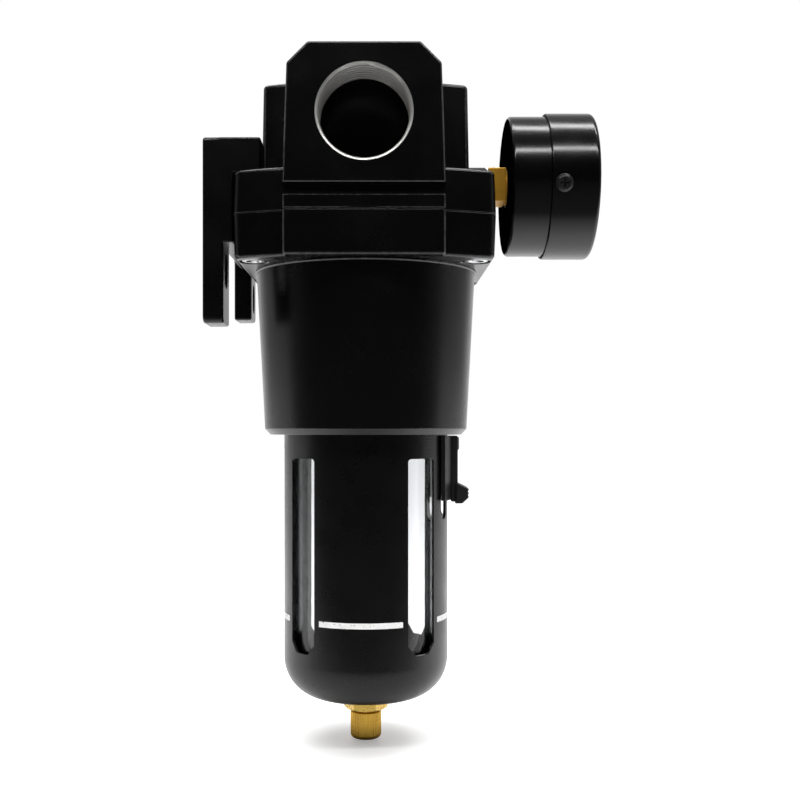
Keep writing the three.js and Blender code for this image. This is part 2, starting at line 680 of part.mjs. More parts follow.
// A curved plate between two radii, spread to both sides of the X axis.
function curvedPlate(inner, outer, halfAngle, from, to) {
  const outline = [
    ...arc(0, 0, outer, -halfAngle, halfAngle, 8),
    ...arc(0, 0, inner, halfAngle, -halfAngle, 8),
  ];
  return prism(outline, from, to);
}

function lockButton() {
  const plate = curvedPlate(LOCK.inner, LOCK.outer, LOCK.halfAngle, LOCK.bottom, LOCK.top);
  const { start, end, halfWidth, drop } = LOCK_RIB;
  const rib = box([start, -halfWidth, LOCK.bottom - drop], [end, halfWidth, LOCK.top]);
  const tabHalf = LOCK_TAB.halfWidth;
  const tab = box([LOCK_TAB.start, -tabHalf, LOCK_TAB.bottom], [LOCK_TAB.end, tabHalf, LOCK_TAB.top]);
  const ridges = LOCK_RIDGE.bottoms.map((z) => box(
    [LOCK_TAB.end - 0.2, -tabHalf, z],
    [LOCK_TAB.end + LOCK_RIDGE.depth, tabHalf, z + LOCK_RIDGE.height],
  ));
  const { neck, halfWidth: neckHalf, halfAngle, bottom } = LOCK_HOOK;
  const hookParts = [
    () => box([neck, -neckHalf, bottom], [LOCK.inner + 0.4, neckHalf, LOCK_HOOK_TOP]),
    () => curvedPlate(LOCK_HOOK.inner, LOCK_HOOK.outer, halfAngle, bottom, LOCK_HOOK_TOP),
  ];
  const hookAngles = bothSides.map((sign) => sign * LOCK.windowAngle);
  const hooks = hookParts.flatMap((make) => turnedCopies(make, hookAngles));
  const pocketHalf = SPRING_POCKET.halfWidth;
  const pocket = box(
    [SPRING_POCKET.start, -pocketHalf, LOCK.bottom - 2 * OVER],
    [SPRING_POCKET.end, pocketHalf, SPRING_POCKET.top],
  );
  return part("lock_button", cut(join(plate, rib, tab, ...ridges, ...hooks), pocket), blackPlastic);
}

function lockSpring() {
  const { x, coilRadius, wireRadius, bottom, top, turns, lift } = SPRING;
  class Helix extends THREE.Curve {
    getPoint(t, target = new THREE.Vector3()) {
      const angle = t * turns * 2 * Math.PI;
      const z = bottom + wireRadius + lift + t * (top - bottom - 2 * wireRadius);
      return target.set(x + coilRadius * Math.cos(angle), coilRadius * Math.sin(angle), z);
    }
  }
  const wire = new THREE.Shape(arc(0, 0, wireRadius, 0, 288, 4).map(([a, b]) => new THREE.Vector2(a, b)));
  const coil = new THREE.ExtrudeGeometry(wire, { steps: turns * 8, extrudePath: new Helix() });
  return part("lock_spring", coil, stainless);
}

function drainBody() {
  const { flangeRadius, flangeTop, flangeBottom, bodyRadius, bodyBottom } = DRAIN;
  const { boreRadius, throatRadius, seatTop, seatBottom } = DRAIN;
  return part("drain_body", turned([
    [throatRadius, flangeTop], [flangeRadius, flangeTop], [flangeRadius, flangeBottom],
    [bodyRadius, flangeBottom], [bodyRadius, bodyBottom], [boreRadius, bodyBottom],
    [boreRadius, seatBottom], [throatRadius, seatTop], [throatRadius, flangeTop],
  ], MEDIUM), brass);
}

function drainNut() {
  const { top, flats, bore, chamfer, topChamfer } = DRAIN_NUT;
  const bottom = DRAIN.bodyBottom;
  const corner = flats / 2 / Math.cos(Math.PI / 6);
  const envelope = turned([
    [0, bottom], [corner - chamfer, bottom], [corner, bottom + topChamfer], [corner, top - topChamfer / 2],
    [corner - topChamfer, top], [0, top],
  ], MEDIUM);
  const blank = solidOf(polygon(6, flats, bottom, top)).intersect(solidOf(envelope));
  return part("drain_nut", cut(blank, rod("z", bore, bottom - OVER, top + OVER, [0, 0, 0], MEDIUM)), brass);
}

function drainKnob() {
  const { radius, ribs, ribDepth, top, gripTop, bottom, footChamfer, collarRadius } = KNOB;
  const { stemRadius, stemEnd, tipRadius, tip, ringZ, ringHalfWidth, ringRoot } = KNOB;
  const outline = Array.from({ length: ribs * 2 }, (_, i) => {
    const reach = i % 2 ? radius - ribDepth : radius;
    return [reach * Math.cos((i * Math.PI) / ribs), reach * Math.sin((i * Math.PI) / ribs)];
  });
  const gripBottom = bottom + 1;
  const grip = prism(outline, gripBottom, gripTop);
  const foot = turned([
    [0, bottom], [radius - footChamfer, bottom], [radius - ribDepth, gripBottom], [0, gripBottom],
  ], ribs);
  const collar = rod("z", collarRadius, gripTop, top, [0, 0, 0], MEDIUM);
  const stem = turned([
    [0, top], [stemRadius, top], [stemRadius, ringZ - ringHalfWidth], [ringRoot, ringZ - ringHalfWidth],
    [ringRoot, ringZ + ringHalfWidth], [stemRadius, ringZ + ringHalfWidth], [stemRadius, stemEnd],
    [tipRadius, tip], [0, tip],
  ], MEDIUM);
  const outlet = rod("z", KNOB.outletRadius, bottom - OVER, KNOB.outletTop);
  const crossHole = rod("x", KNOB.crossHoleRadius, -radius, radius, [0, 0, KNOB.crossHoleZ]);
  return part("drain_knob", cut(join(grip, foot, collar, stem), outlet, crossHole), brass);
}

function drainGroup() {
  const { inner, outer, bottom, top } = DRAIN_SEAL;
  const seal = part("drain_seal", ring(inner, outer, bottom, top, MEDIUM), rubber);
  const stemTorus = torus(STEM_RING.radius, STEM_RING.wire, KNOB.ringZ, MEDIUM);
  const stemRing = part("drain_stem_oring", stemTorus, rubber);
  return [drainBody(), drainNut(), seal, stemRing, drainKnob()];
}

function bowlGroup() {
  const group = new THREE.Group();
  const bowlRing = part("bowl_oring", torus(BOWL.ringRadius, BOWL.ringWire, BOWL.ringZ), rubber);
  group.add(bowlGuard(), clearBowl(), bowlRing, lockButton(), lockSpring(), ...drainGroup());
  group.rotation.z = BOWL_CLOCKING;
  return group;
}

// ---------------------------------------------------------------- gauge, facing +Z in its own group
function gaugeStem() {
  const { threadRadius, threadStart, squareHalf, squareStart, neckRadius, neckEnd } = STEM;
  const { blockHalfX, blockLow, blockHigh, blockTop, boreRadius } = STEM;
  const square = box([-squareHalf, -squareHalf, squareStart], [squareHalf, squareHalf, -GAP]);
  const thread = rod("z", threadRadius, threadStart, squareStart + 0.2);
  const neck = rod("z", neckRadius, -GAP - 0.1, neckEnd, [0, 0, 0], MEDIUM);
  const block = box([-blockHalfX, blockLow, neckEnd - 0.1], [blockHalfX, blockHigh, blockTop]);
  const bore = rod("z", boreRadius, threadStart - OVER, blockHigh);
  return part("gauge_stem", cut(join(square, thread, neck, block), bore), brass);
}

function screwBores() {
  const bore = () => rod("x", CASE_SCREW.boreRadius, 20, 30).translate(0, 0, CASE_SCREW.height);
  return turnedCopies(bore, CASE_SCREW.angles);
}

function gaugeCase() {
  const { caseRadius, wall, depth, backHole, backEdge } = GAUGE;
  const shell = turned([
    [backHole, 0], [caseRadius - backEdge, 0], [caseRadius, backEdge], [caseRadius, depth],
    [caseRadius - wall, depth], [caseRadius - wall, 2 * wall], [caseRadius - 2 * wall, wall],
    [backHole, wall], [backHole, 0],
  ]);
  return part("gauge_case", cut(shell, ...screwBores()), blackPaint);
}

function gaugeBezel() {
  const { ringRadius, ringStart, ringCorner, end, lipRadius, lipThickness } = GAUGE;
  const inner = GAUGE.caseRadius + GAUGE.ringClearance;
  const lipBack = end - lipThickness;
  const shell = turned([
    [inner, ringStart], [ringRadius, ringStart],
    ...arc(ringRadius - ringCorner, end - ringCorner, ringCorner, 0, 90, 3), [lipRadius, end],
    [lipRadius, lipBack], [inner, lipBack], [inner, ringStart],
  ]);
  return part("gauge_bezel", cut(shell, ...screwBores()), blackPaint);
}

function caseScrews() {
  const { shankRadius, shankStart, headStart, headRadius, headEdge, headTopRadius, headTop } = CASE_SCREW;
  const { crossBottom, crossHalfLength: long, crossHalfWidth: narrow } = CASE_SCREW;
  return CASE_SCREW.angles.map((angle, i) => {
    const blank = turned([
      [0, shankStart], [shankRadius, shankStart], [shankRadius, headStart], [headRadius, headStart],
      [headRadius, headEdge], [headTopRadius, headTop], [0, headTop],
    ], SMALL, "x");
    const cross = [[long, narrow], [narrow, long]].map(([y, z]) =>
      box([crossBottom, -y, -z], [headTop + OVER, y, z]));
    const screw = part(`case_screw_${i + 1}`, cut(blank, ...cross), zincSteel);
    screw.rotation.z = angle * DEGREES;
    screw.position.z = CASE_SCREW.height;
    return screw;
  });
}

function dialParts() {
  const { x, y, shank, head, bottom, neck, top, slotHalf } = DIAL_SCREW;
  const through = [DIAL.bottom - OVER, DIAL.top + OVER];
  const places = bothSides.map((sign) => [sign * x, y]);
  const disc = cut(
    rod("z", DIAL.radius, DIAL.bottom, DIAL.top, [0, 0, 0], FINE), rod("z", DIAL.centreHole, ...through),
    ...places.map(([placeX, placeY]) => rod("z", DIAL.screwHole, ...through, [placeX, placeY, 0])),
  );
  const dial = part("gauge_dial", disc, dialWhite);
  const pane = rod("z", WINDOW.radius, WINDOW.bottom, WINDOW.top, [0, 0, 0], FINE);
  const window = part("gauge_window", pane, glass);
  const screws = places.map(([placeX, placeY], i) => {
    const blank = turned([
      [0, bottom], [shank, bottom], [shank, neck], [head, neck], [head, top], [0, top],
    ], SMALL);
    const slot = box([-2 * head, -slotHalf, top - GAP], [2 * head, slotHalf, top + OVER]);
    const screw = part(`dial_screw_${i + 1}`, cut(blank, slot), brass);
    screw.position.set(placeX, placeY, 0);
    return screw;
  });
  return [dial, window, ...screws];
}

// The outline of a toothed wheel or of a stretch of one, with thin straight-sided teeth.
function toothPoints(pitchRadius, teethAngles, toothCount) {
  const pitchAngle = 360 / toothCount;
  const root = pitchRadius - 1.3 * GEAR.module;
  const tip = pitchRadius + 0.85 * GEAR.module;
  const flank = [[root, -0.24], [tip, -0.1], [tip, 0.1], [root, 0.24]]; // [radius, share of the pitch]
  return teethAngles.flatMap((middle) => flank.map(([r, share]) => {
    const angle = (middle + share * pitchAngle) * DEGREES;
    return [r * Math.cos(angle), r * Math.sin(angle)];
  }));
}

function pinionShaft() {
  const teeth = everyTurn(GEAR.pinionTeeth, -90);
  const outline = toothPoints(PINION_RADIUS, teeth, GEAR.pinionTeeth);
  const pinion = prism(outline, SHAFT.pinionBottom, SHAFT.pinionTop);
  return part("pinion_shaft", join(pinion, rod("z", SHAFT.radius, SHAFT.bottom, SHAFT.top)), brass);
}

const tailPin = [
  TAIL.length * Math.cos(TAIL.angle * DEGREES),
  SECTOR_PIVOT_Y + TAIL.length * Math.sin(TAIL.angle * DEGREES),
];

function sectorGear() {
  const { bottom, top, hubRadius, hubBottom, hubTop, arborBottom, arborTop } = SECTOR;
  const step = 360 / GEAR.wheelTeeth;
  const teeth = Array.from({ length: GEAR.sectorTeeth }, (_, i) => GEAR.sectorStart + GEAR.module + i * step);
  const half = SHAFT.radius;
  const root = [[-half, half], [-half, -half], [half, -half]];
  const blade = prism([...toothPoints(SECTOR_RADIUS, teeth, GEAR.wheelTeeth), ...root], bottom, top);
  const hub = rod("z", hubRadius, hubBottom, hubTop);
  const arbor = rod("z", SHAFT.radius, arborBottom, arborTop);
  const { length, halfWidth, pinRadius, pinBottom } = TAIL;
  const straightTail = join(
    box([0, -halfWidth, bottom], [length + halfWidth, halfWidth, top]),
    rod("z", pinRadius, pinBottom, bottom + 0.2, [length, 0, 0]),
  );
  const tail = straightTail.rotate([0, 0, TAIL.angle]);
  const gear = part("sector_gear", join(blade, tail, hub, arbor), brass);
  gear.position.y = SECTOR_PIVOT_Y;
  return gear;
}

function gaugeLink() {
  const { bottom, top, halfWidth, eyeRadius, endRadius, boreRadius } = LINK;
  const tip = [BOURDON.radius, BOURDON.radius * Math.sin(BOURDON.start * DEGREES)];
  const reach = Math.hypot(tip[0] - tailPin[0], tip[1] - tailPin[1]);
  const strip = join(
    box([0, -halfWidth, bottom], [reach, halfWidth, top]),
    rod("z", eyeRadius, bottom, top), rod("z", endRadius, bottom, top, [reach, 0, 0]),
  );
  const link = part("gauge_link", cut(strip, rod("z", boreRadius, bottom - OVER, top + OVER)), stainless);
  link.position.set(tailPin[0], tailPin[1], 0);
  link.rotation.z = Math.atan2(tip[1] - tailPin[1], tip[0] - tailPin[0]);
  return link;
}

function bourdonTube() {
  const { radius, z, height, thickness, start, end } = BOURDON;
  const wall = thickness / 2;
  const tube = prism(
    [...arc(0, 0, radius + wall, start, end, 18), ...arc(0, 0, radius - wall, end, start, 18)],
    z - height / 2, z + height / 2,
  );
  const { halfX, startY, endY, top } = TIP_POST;
  const tipPost = box([radius - halfX, startY, z], [radius + halfX, endY, top]);
  return part("bourdon_tube", join(tube, tipPost), brass);
}

function movementFrame() {
  const { halfX, lowY, highY, plates, pillars, pillarRadius } = FRAME;
  const { feet, footHalfX, footBottom, bearingRadius } = FRAME;
  const [lowPlate, highPlate] = plates;
  const plateSolids = plates.map(([from, to]) => box([-halfX, lowY, from], [halfX, highY, to]));
  const pillarSolids = pillars.map(([x, y]) => rod("z", pillarRadius, lowPlate[0], highPlate[1], [x, y, 0]));
  const footSolids = feet.map(([from, to]) =>
    box([-footHalfX, from, footBottom], [footHalfX, to, lowPlate[1]]));
  const bearings = [0, SECTOR_PIVOT_Y].map((y) =>
    rod("z", bearingRadius, footBottom, highPlate[1] + OVER, [0, y, 0]));
  const through = [highPlate[0] - OVER, highPlate[1] + OVER];
  const screwHoles = bothSides.map((sign) =>
    rod("z", DIAL.screwHole, ...through, [sign * DIAL_SCREW.x, DIAL_SCREW.y, 0]));
  const frame = join(...plateSolids, ...pillarSolids, ...footSolids);
  return part("movement_frame", cut(frame, ...bearings, ...screwHoles), brass);
}

function gaugePointer() {
  const { bottom, top, hubRadius, hubTop, boreRadius, boreTop, zeroAngle } = POINTER;
  const lower = [[-6, -0.9], [2, -1.1], [19, -0.25]]; // tail, root and tip of the blade's lower edge
  const upper = lower.map(([along, across]) => [along, -across]).reverse();
  const blade = prism([...lower, ...upper], bottom, top).rotateZ(zeroAngle * DEGREES);
  const whole = join(blade, rod("z", hubRadius, bottom, hubTop));
  return part("gauge_pointer", cut(whole, rod("z", boreRadius, bottom - GAP, boreTop)), blackPlastic);
}

function gaugeGroup() {
  const group = new THREE.Group();
  group.add(gaugeStem(), gaugeCase(), gaugeBezel(), ...caseScrews(), ...dialParts(), gaugePointer());
  group.add(pinionShaft(), sectorGear(), gaugeLink(), bourdonTube(), movementFrame());
  group.rotation.setFromRotationMatrix(alongAxis.x);
  group.position.set(GAUGE.x, 0, GAUGE.z);
  return group;
}

// ---------------------------------------------------------------- the whole filter
const airFilter = new THREE.Group();
airFilter.name = "compressed_air_filter";
const housingRing = part(
  "housing_oring", torus(HOUSING_RING.radius, HOUSING_RING.wire, HEAD.bottom - HOUSING_RING.sink), rubber,
);
airFilter.add(headBody(), housing(), housingRing, ...housingScrews(), wallBracket(), ...bracketScrews());
airFilter.add(...filterSet(), bowlGroup(), gaugeGroup());
airFilter.position.set(-WALL_POINT.x, 0, -WALL_POINT.z);

export default airFilter;
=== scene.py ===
"""Looks for the compressed air filter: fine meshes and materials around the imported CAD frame.

Blender works in metres in the CAD frame. The shapes below are written in millimetres from the point
where the port axis (Y, inlet at -Y) crosses the bowl axis (Z), with the gauge at +X.
"""
import math

import bmesh
import bpy
from mathutils import Matrix, Vector


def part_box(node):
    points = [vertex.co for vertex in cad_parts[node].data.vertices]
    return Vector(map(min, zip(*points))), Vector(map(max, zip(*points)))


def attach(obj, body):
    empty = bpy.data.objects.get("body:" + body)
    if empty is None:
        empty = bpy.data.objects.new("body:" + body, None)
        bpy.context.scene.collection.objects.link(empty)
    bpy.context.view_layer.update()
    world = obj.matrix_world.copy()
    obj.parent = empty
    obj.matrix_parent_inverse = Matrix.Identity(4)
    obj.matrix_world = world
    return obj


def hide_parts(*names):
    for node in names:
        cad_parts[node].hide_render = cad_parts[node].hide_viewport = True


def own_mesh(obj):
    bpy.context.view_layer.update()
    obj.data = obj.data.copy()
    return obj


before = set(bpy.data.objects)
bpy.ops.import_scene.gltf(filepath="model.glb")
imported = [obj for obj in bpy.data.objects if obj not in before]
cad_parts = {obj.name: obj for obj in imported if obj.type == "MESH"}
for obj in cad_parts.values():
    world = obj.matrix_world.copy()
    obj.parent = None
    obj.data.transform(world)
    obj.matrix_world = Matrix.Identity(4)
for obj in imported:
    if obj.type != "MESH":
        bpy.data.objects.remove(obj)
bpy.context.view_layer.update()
MM = 0.001
HEAD_TOP = 23  # the head's top above the port axis
head_low, head_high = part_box("head_body")
head_middle = [(head_low[i] + head_high[i]) / 2 for i in range(2)]
DATUM = Vector((*head_middle, head_high[2] - HEAD_TOP * MM))
LARGE, MEDIUM, SMALL = 128, 48, 24  # segments of the large, middling and small round bodies
WELD = 1e-7  # metres within which points are one
WORN_AND_HIGHLIGHT_WIDTH = 0.6  # faces narrower than this are an edge that wears and gets a painted highlight,
WORN_AND_HIGHLIGHT_SLANT = 0.86  # if no part of their unit normal is larger than this
WORN_AND_HIGHLIGHT_START = 18  # and they lie outside the port's bore
X, Y, Z = Vector((1, 0, 0)), Vector((0, 1, 0)), Vector((0, 0, 1))


def millimetres(node):
    """The CAD node's box as two corners, in millimetres from the datum."""
    return [[(value - base) / MM for value, base in zip(corner, DATUM)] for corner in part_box(node)]


def heights(node):
    """The CAD node's lowest and highest z, in millimetres from the datum."""
    low, high = millimetres(node)
    return low[2], high[2]


# ---- outlines and meshes
def basis(x, y, z, origin=(0, 0, 0)):
    """The matrix that takes local axes to x, y, z and the local origin to origin."""
    matrix = Matrix((x, y, z)).transposed().to_4x4()
    matrix.translation = Vector(origin)
    return matrix


ALONG_X = basis(Y, Z, X)  # an outline of (y, z), pushed along X
ALONG_Y = basis(Z, X, Y)  # an outline of (z, x), pushed along Y
ALONG_Z = Matrix.Identity(4)


def polar(radius, angle):
    return radius * math.cos(angle), radius * math.sin(angle)


def arc(centre_a, centre_b, radius, start, end, steps):
    """Points on an arc, angles in degrees."""
    points = []
    for i in range(steps + 1):
        a, b = polar(radius, math.radians(start + (end - start) * i / steps))
        points.append((centre_a + a, centre_b + b))
    return points


def circle(radius, count, centre=(0, 0)):
    return arc(centre[0], centre[1], radius, 0, 360 - 360 / count, count - 1)


def rectangle(left, bottom, right, top):
    return [(left, bottom), (right, bottom), (right, top), (left, top)]


def long_hole(middle, radius, bottom, top, steps):
    upper = arc(middle, top - radius, radius, 0, 180, steps)
    return upper + arc(middle, bottom + radius, radius, 180, 360, steps)


def rounded(points, radius, steps=4, closed=True):
    """Rounds the corners of an outline. A point may carry its own radius as a third value."""
    result = []
    count = len(points)
    for i, point in enumerate(points):
        corner = Vector(point[:2])
        own = point[2] if len(point) > 2 else radius
        before = Vector(points[i - 1][:2]) - corner
        after = Vector(points[(i + 1) % count][:2]) - corner
        kept = own <= 0 or not closed and i in (0, count - 1) or min(before.length, after.length) < 1e-9
        half = 0 if kept else before.angle(after) / 2
        if kept or half > math.pi / 2 - 0.02:
            result.append(tuple(corner))
            continue
        reach = min(own / math.tan(half), 0.49 * before.length, 0.49 * after.length)
        own = reach * math.tan(half)
        centre = corner + (before.normalized() + after.normalized()).normalized() * own / math.sin(half)
        first = corner + before.normalized() * reach - centre
        last = corner + after.normalized() * reach - centre
        swing = first.angle_signed(last)
        for k in range(steps + 1):
            turned = first.copy()
            turned.rotate(Matrix.Rotation(-swing * k / steps, 2))
            result.append(tuple(centre + turned))
    return result


def area(outline):
    pairs = zip(outline, outline[1:] + outline[:1])
    return sum(a[0] * b[1] - b[0] * a[1] for a, b in pairs) / 2


def inset(outline, distance):
    """The outline moved inwards by distance, corner by corner."""
    sign = 1 if area(outline) > 0 else -1
    moved = []
    for i, point in enumerate(outline):
        here = Vector(point)
        back = (here - Vector(outline[i - 1])).normalized()
        ahead = (Vector(outline[(i + 1) % len(outline)]) - here).normalized()
        inward = (Vector((-back.y, back.x)) + Vector((-ahead.y, ahead.x))) * sign
        if inward.length < 1e-6:
            moved.append(tuple(here))
            continue
        inward.normalize()
        square = max(0.5, inward.dot(Vector((-back.y, back.x)) * sign))
        moved.append(tuple(here + inward * distance / square))
    return moved


def placed(name, data):
    """A new object in the scene that holds the data."""
    holder = bpy.data.objects.new(name, data)
    bpy.context.scene.collection.objects.link(holder)
    return holder


def made(name, vertices, faces, matrix=ALONG_Z):
    """A mesh object from points in millimetres, welded, with its faces turned outwards."""
    mesh = bpy.data.meshes.new(name)
    mesh.from_pydata([matrix @ Vector(v) * MM for v in vertices], [], faces)
    work = bmesh.new()
    work.from_mesh(mesh)
    bmesh.ops.remove_doubles(work, verts=work.verts, dist=WELD)
    bmesh.ops.recalc_face_normals(work, faces=work.faces)
    if work.calc_volume(signed=True) < 0:
        bmesh.ops.reverse_faces(work, faces=work.faces)
    work.to_mesh(mesh)
    work.free()
    return placed(name, mesh)


def skin(name, loops, matrix=ALONG_Z, wrap=False, capped=True):
    """A surface through loops of equal length. wrap joins the last loop to the first one."""
    count = len(loops[0])
    vertices = [point for loop in loops for point in loop]
    faces = []
    for i in range(len(loops) if wrap else len(loops) - 1):
        a, b = i * count, ((i + 1) % len(loops)) * count
        faces += [(a + j, a + (j + 1) % count, b + (j + 1) % count, b + j) for j in range(count)]
    if capped and not wrap:
        faces.append(tuple(range(count)))
        faces.append(tuple(range(len(vertices) - count, len(vertices))))
    return made(name, vertices, faces, matrix)


def lathe(name, profile, segments=LARGE, matrix=ALONG_Z, round_by=0, steps=3):
    """A profile of (radius, height) turned about the axis. An open profile starts and ends on the axis."""
    closed = profile[0][0] > 0
    points = rounded(profile, round_by, steps, closed) if round_by else [p[:2] for p in profile]
    loops = [[(r * a, r * b, z) for a, b in circle(1, segments)] for r, z in points]
    return skin(name, loops, matrix, wrap=closed, capped=False)


def slab(name, outline, low, high, edge=0.8, matrix=ALONG_Z, draft_low=0, draft_high=0, steps=4,
         low_edge=None, high_edge=None):
    """An outline pushed from low to high, with rounded edges and, if asked, a drawn-in end."""
    start = low, 1, edge if low_edge is None else low_edge, draft_low, range(steps + 1)
    end = high, -1, edge if high_edge is None else high_edge, draft_high, range(steps, -1, -1)
    loops = []
    for height, sign, radius, draft, order in (start, end):
        for k in order:
            sweep = math.pi / 2 * k / steps
            pulled = inset(outline, draft + radius * (1 - math.sin(sweep)))
            rise = sign * radius * (1 - math.cos(sweep))
            loops.append([(a, b, height + rise) for a, b in pulled])
    return skin(name, loops, matrix)


def block(name, low, high, edge=0.5):
    return slab(name, rounded(rectangle(*low[:2], *high[:2]), edge), low[2], high[2], edge)


def plain_prism(name, outline, low, high, matrix=ALONG_Z):
    return skin(name, [[(a, b, height) for a, b in outline] for height in (low, high)], matrix)


def tube(name, points, radius, sides=12):
    """A round wire through a list of points."""
    loops = []
    for i, point in enumerate(points):
        ahead = Vector(points[min(i + 1, len(points) - 1)]) - Vector(points[max(i - 1, 0)])
        across = ahead.cross(Z).normalized()
        up = across.cross(ahead).normalized()
        loops.append([Vector(point) + across * a + up * b for a, b in circle(radius, sides)])
    return skin(name, loops)


def evaluated(piece):
    """The piece's mesh with its modifiers applied."""
    bpy.context.view_layer.update()
    return bpy.data.meshes.new_from_object(piece.evaluated_get(bpy.context.evaluated_depsgraph_get()))


def combine(base, tools, operation="DIFFERENCE"):
    """Cuts the tools from the base, or joins them to it, and removes them."""
    for tool in tools:
        modifier = base.modifiers.new("combine", "BOOLEAN")
        modifier.operation = operation
        modifier.solver = "MANIFOLD"
        modifier.object = tool
    mesh = evaluated(base)
    base.modifiers.clear()
    base.data = mesh
    for tool in tools:
        bpy.data.objects.remove(tool)
    return base


def union(base, *tools):
    return combine(base, tools, "UNION")


def cut(base, *tools):
    return combine(base, tools)


def turn(piece, angle):
    """Turns the mesh itself about the bowl's axis, in degrees."""
    piece.data.transform(Matrix.Rotation(math.radians(angle), 4, "Z"))
    return piece


def mark_worn_edges(mesh):
    """Marks the middle of a casting's rounded edges, outside its port, for the paint's wear and for a
    painted highlight that stands in for the edges' glints.
    """
    values = []
    for face in mesh.polygons:
        corners = [mesh.vertices[i].co for i in face.vertices]
        around = sum((a - b).length for a, b in zip(corners, corners[1:] + corners[:1]))
        narrow = 2 * face.area / around < WORN_AND_HIGHLIGHT_WIDTH * MM
        slanting = max(abs(value) for value in face.normal) < WORN_AND_HIGHLIGHT_SLANT
        outside = math.hypot(face.center.x, face.center.z) > WORN_AND_HIGHLIGHT_START * MM
        values.append(1.0 if narrow and slanting and outside else 0.0)
    mesh.attributes.new("wear_and_highlight", "FLOAT", "FACE").data.foreach_set("value", values)


def finish(piece, material, replaced=(), body="head_unit", sharp=32):
    """Place in the CAD frame, shading, material and the CAD body that the piece rides on."""
    mesh = piece.data
    mesh.transform(Matrix.Translation(DATUM))
    mesh.polygons.foreach_set("use_smooth", [True] * len(mesh.polygons))
    mesh.set_sharp_from_angle(angle=math.radians(sharp))
    weighted = piece.modifiers.new("even_faces", "WEIGHTED_NORMAL")
    weighted.keep_sharp = True
    mesh.materials.clear()
    mesh.materials.append(material)
    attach(piece, body)
    if replaced:
        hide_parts(*replaced)


# ---- materials
def plug(tree, value, socket):
    """Links another node's output to the socket, or sets the socket to a plain value."""
    if isinstance(value, bpy.types.NodeSocket):
        tree.links.new(value, socket)
    else:
        socket.default_value = value


def add(tree, kind, **values):
    """A new shader node with the given inputs, where _ in a name stands for a space."""
    node = tree.nodes.new("ShaderNode" + kind)
    for name, value in values.items():
        plug(tree, value, node.inputs[name.replace("_", " ")])
    return node


def scaled_noise(tree, coordinates, scale, stretch=(1, 1, 1), detail=3.0):
    """Noise whose grain is about 1/scale metres across, drawn out along an axis by stretch."""
    mapping = add(tree, "Mapping", Vector=coordinates, Scale=stretch)
    place = mapping.outputs["Vector"]
    noise = add(tree, "TexNoise", Vector=place, Scale=scale, Detail=detail, Roughness=0.55)
    return noise.outputs["Fac"]


def mapped(tree, value, start, end, low=0, high=1):
    """Takes a value's range start..end to low..high, and holds it there beyond."""
    node = add(tree, "MapRange", Value=value, From_Min=start, From_Max=end, To_Min=low, To_Max=high)
    return node.outputs["Result"]


def spread(tree, noise, low, high):
    """Maps the middle of a noise to the range low..high."""
    return mapped(tree, noise, 0.3, 0.7, low, high)


def product(tree, first, second):
    node = tree.nodes.new("ShaderNodeMath")
    node.operation = "MULTIPLY"
    plug(tree, first, node.inputs[0])
    plug(tree, second, node.inputs[1])
    return node.outputs["Value"]


def mixed(tree, factor, first, second):
    """A mix of two colours, each an output or an (r, g, b)."""
    node = tree.nodes.new("ShaderNodeMix")
    node.data_type = "RGBA"
    plug(tree, factor, node.inputs["Factor"])
    for socket, value in ((node.inputs[6], first), (node.inputs[7], second)):
        plug(tree, value if isinstance(value, bpy.types.NodeSocket) else (*value, 1), socket)
    return node.outputs[2]


def surface(name, color, roughness, metallic=0.0, vary=0.2, rough_vary=0.06, patch=45, grain=(),
            specks=None, wear_and_highlight=None, **extra):
    """A Principled material: patchy colour and roughness, and a chain of bumps.

    grain: (scale, height in mm, stretch if any) per bump layer; specks: (scale, threshold, colour);
    worn: the lighter colour, part wear and part painted highlight, on the faces that mark_worn_edges()
    finds."""
    material = bpy.data.materials.new(name)
    material.use_nodes = True
    tree = material.node_tree
    shader = tree.nodes["Principled BSDF"]
    place = add(tree, "TexCoord").outputs["Object"]
    patches = scaled_noise(tree, place, patch, detail=4)
    darker = [c * (1 - vary) for c in color]
    lighter = [min(1, c * (1 + vary)) for c in color]
    paint = mixed(tree, spread(tree, patches, 0, 1), darker, lighter)
    if specks:
        scale, threshold, speck_color = specks
        fine = scaled_noise(tree, place, scale, detail=1)
        paint = mixed(tree, mapped(tree, fine, threshold, threshold + 0.03), paint, speck_color)
    # lighter paint on the marked edges: part wear, part painted highlight in place of the rounded edges'
    # glints
    if wear_and_highlight:
        edge = tree.nodes.new("ShaderNodeAttribute")
        edge.attribute_name = "wear_and_highlight"
        rubbed_and_glint = spread(tree, scaled_noise(tree, place, 700, detail=4), 0.25, 1)
        paint = mixed(tree, product(tree, edge.outputs["Fac"], rubbed_and_glint), paint, wear_and_highlight)
    smudges = scaled_noise(tree, place, patch * 2.3, detail=5)
    uneven = spread(tree, smudges, roughness - rough_vary, roughness + rough_vary)
    inputs = {"Base Color": paint, "Roughness": uneven, "Metallic": metallic}
    for scale, height, *stretch in grain:
        bump = add(tree, "Bump", Distance=height * MM, Height=scaled_noise(tree, place, scale, *stretch))
        if "Normal" in inputs:
            plug(tree, inputs["Normal"], bump.inputs["Normal"])
        inputs["Normal"] = bump.outputs["Normal"]
    inputs.update({socket.replace("_", " "): value for socket, value in extra.items()})
    for socket, value in inputs.items():
        plug(tree, value, shader.inputs[socket])
    return material


ALONG_BOWL = (0.05, 0.05, 1)  # fine lines running round the bowl axis
DRAWN_DOWN = (1, 1, 0.05)  # fine lines running down the bowl axis
BLACK = (0.0008, 0.0008, 0.0009)
# lighter grey for the castings' rounded edges: part wear, part painted highlight
WORN_PAINT_AND_HIGHLIGHT = (0.04, 0.04, 0.042)

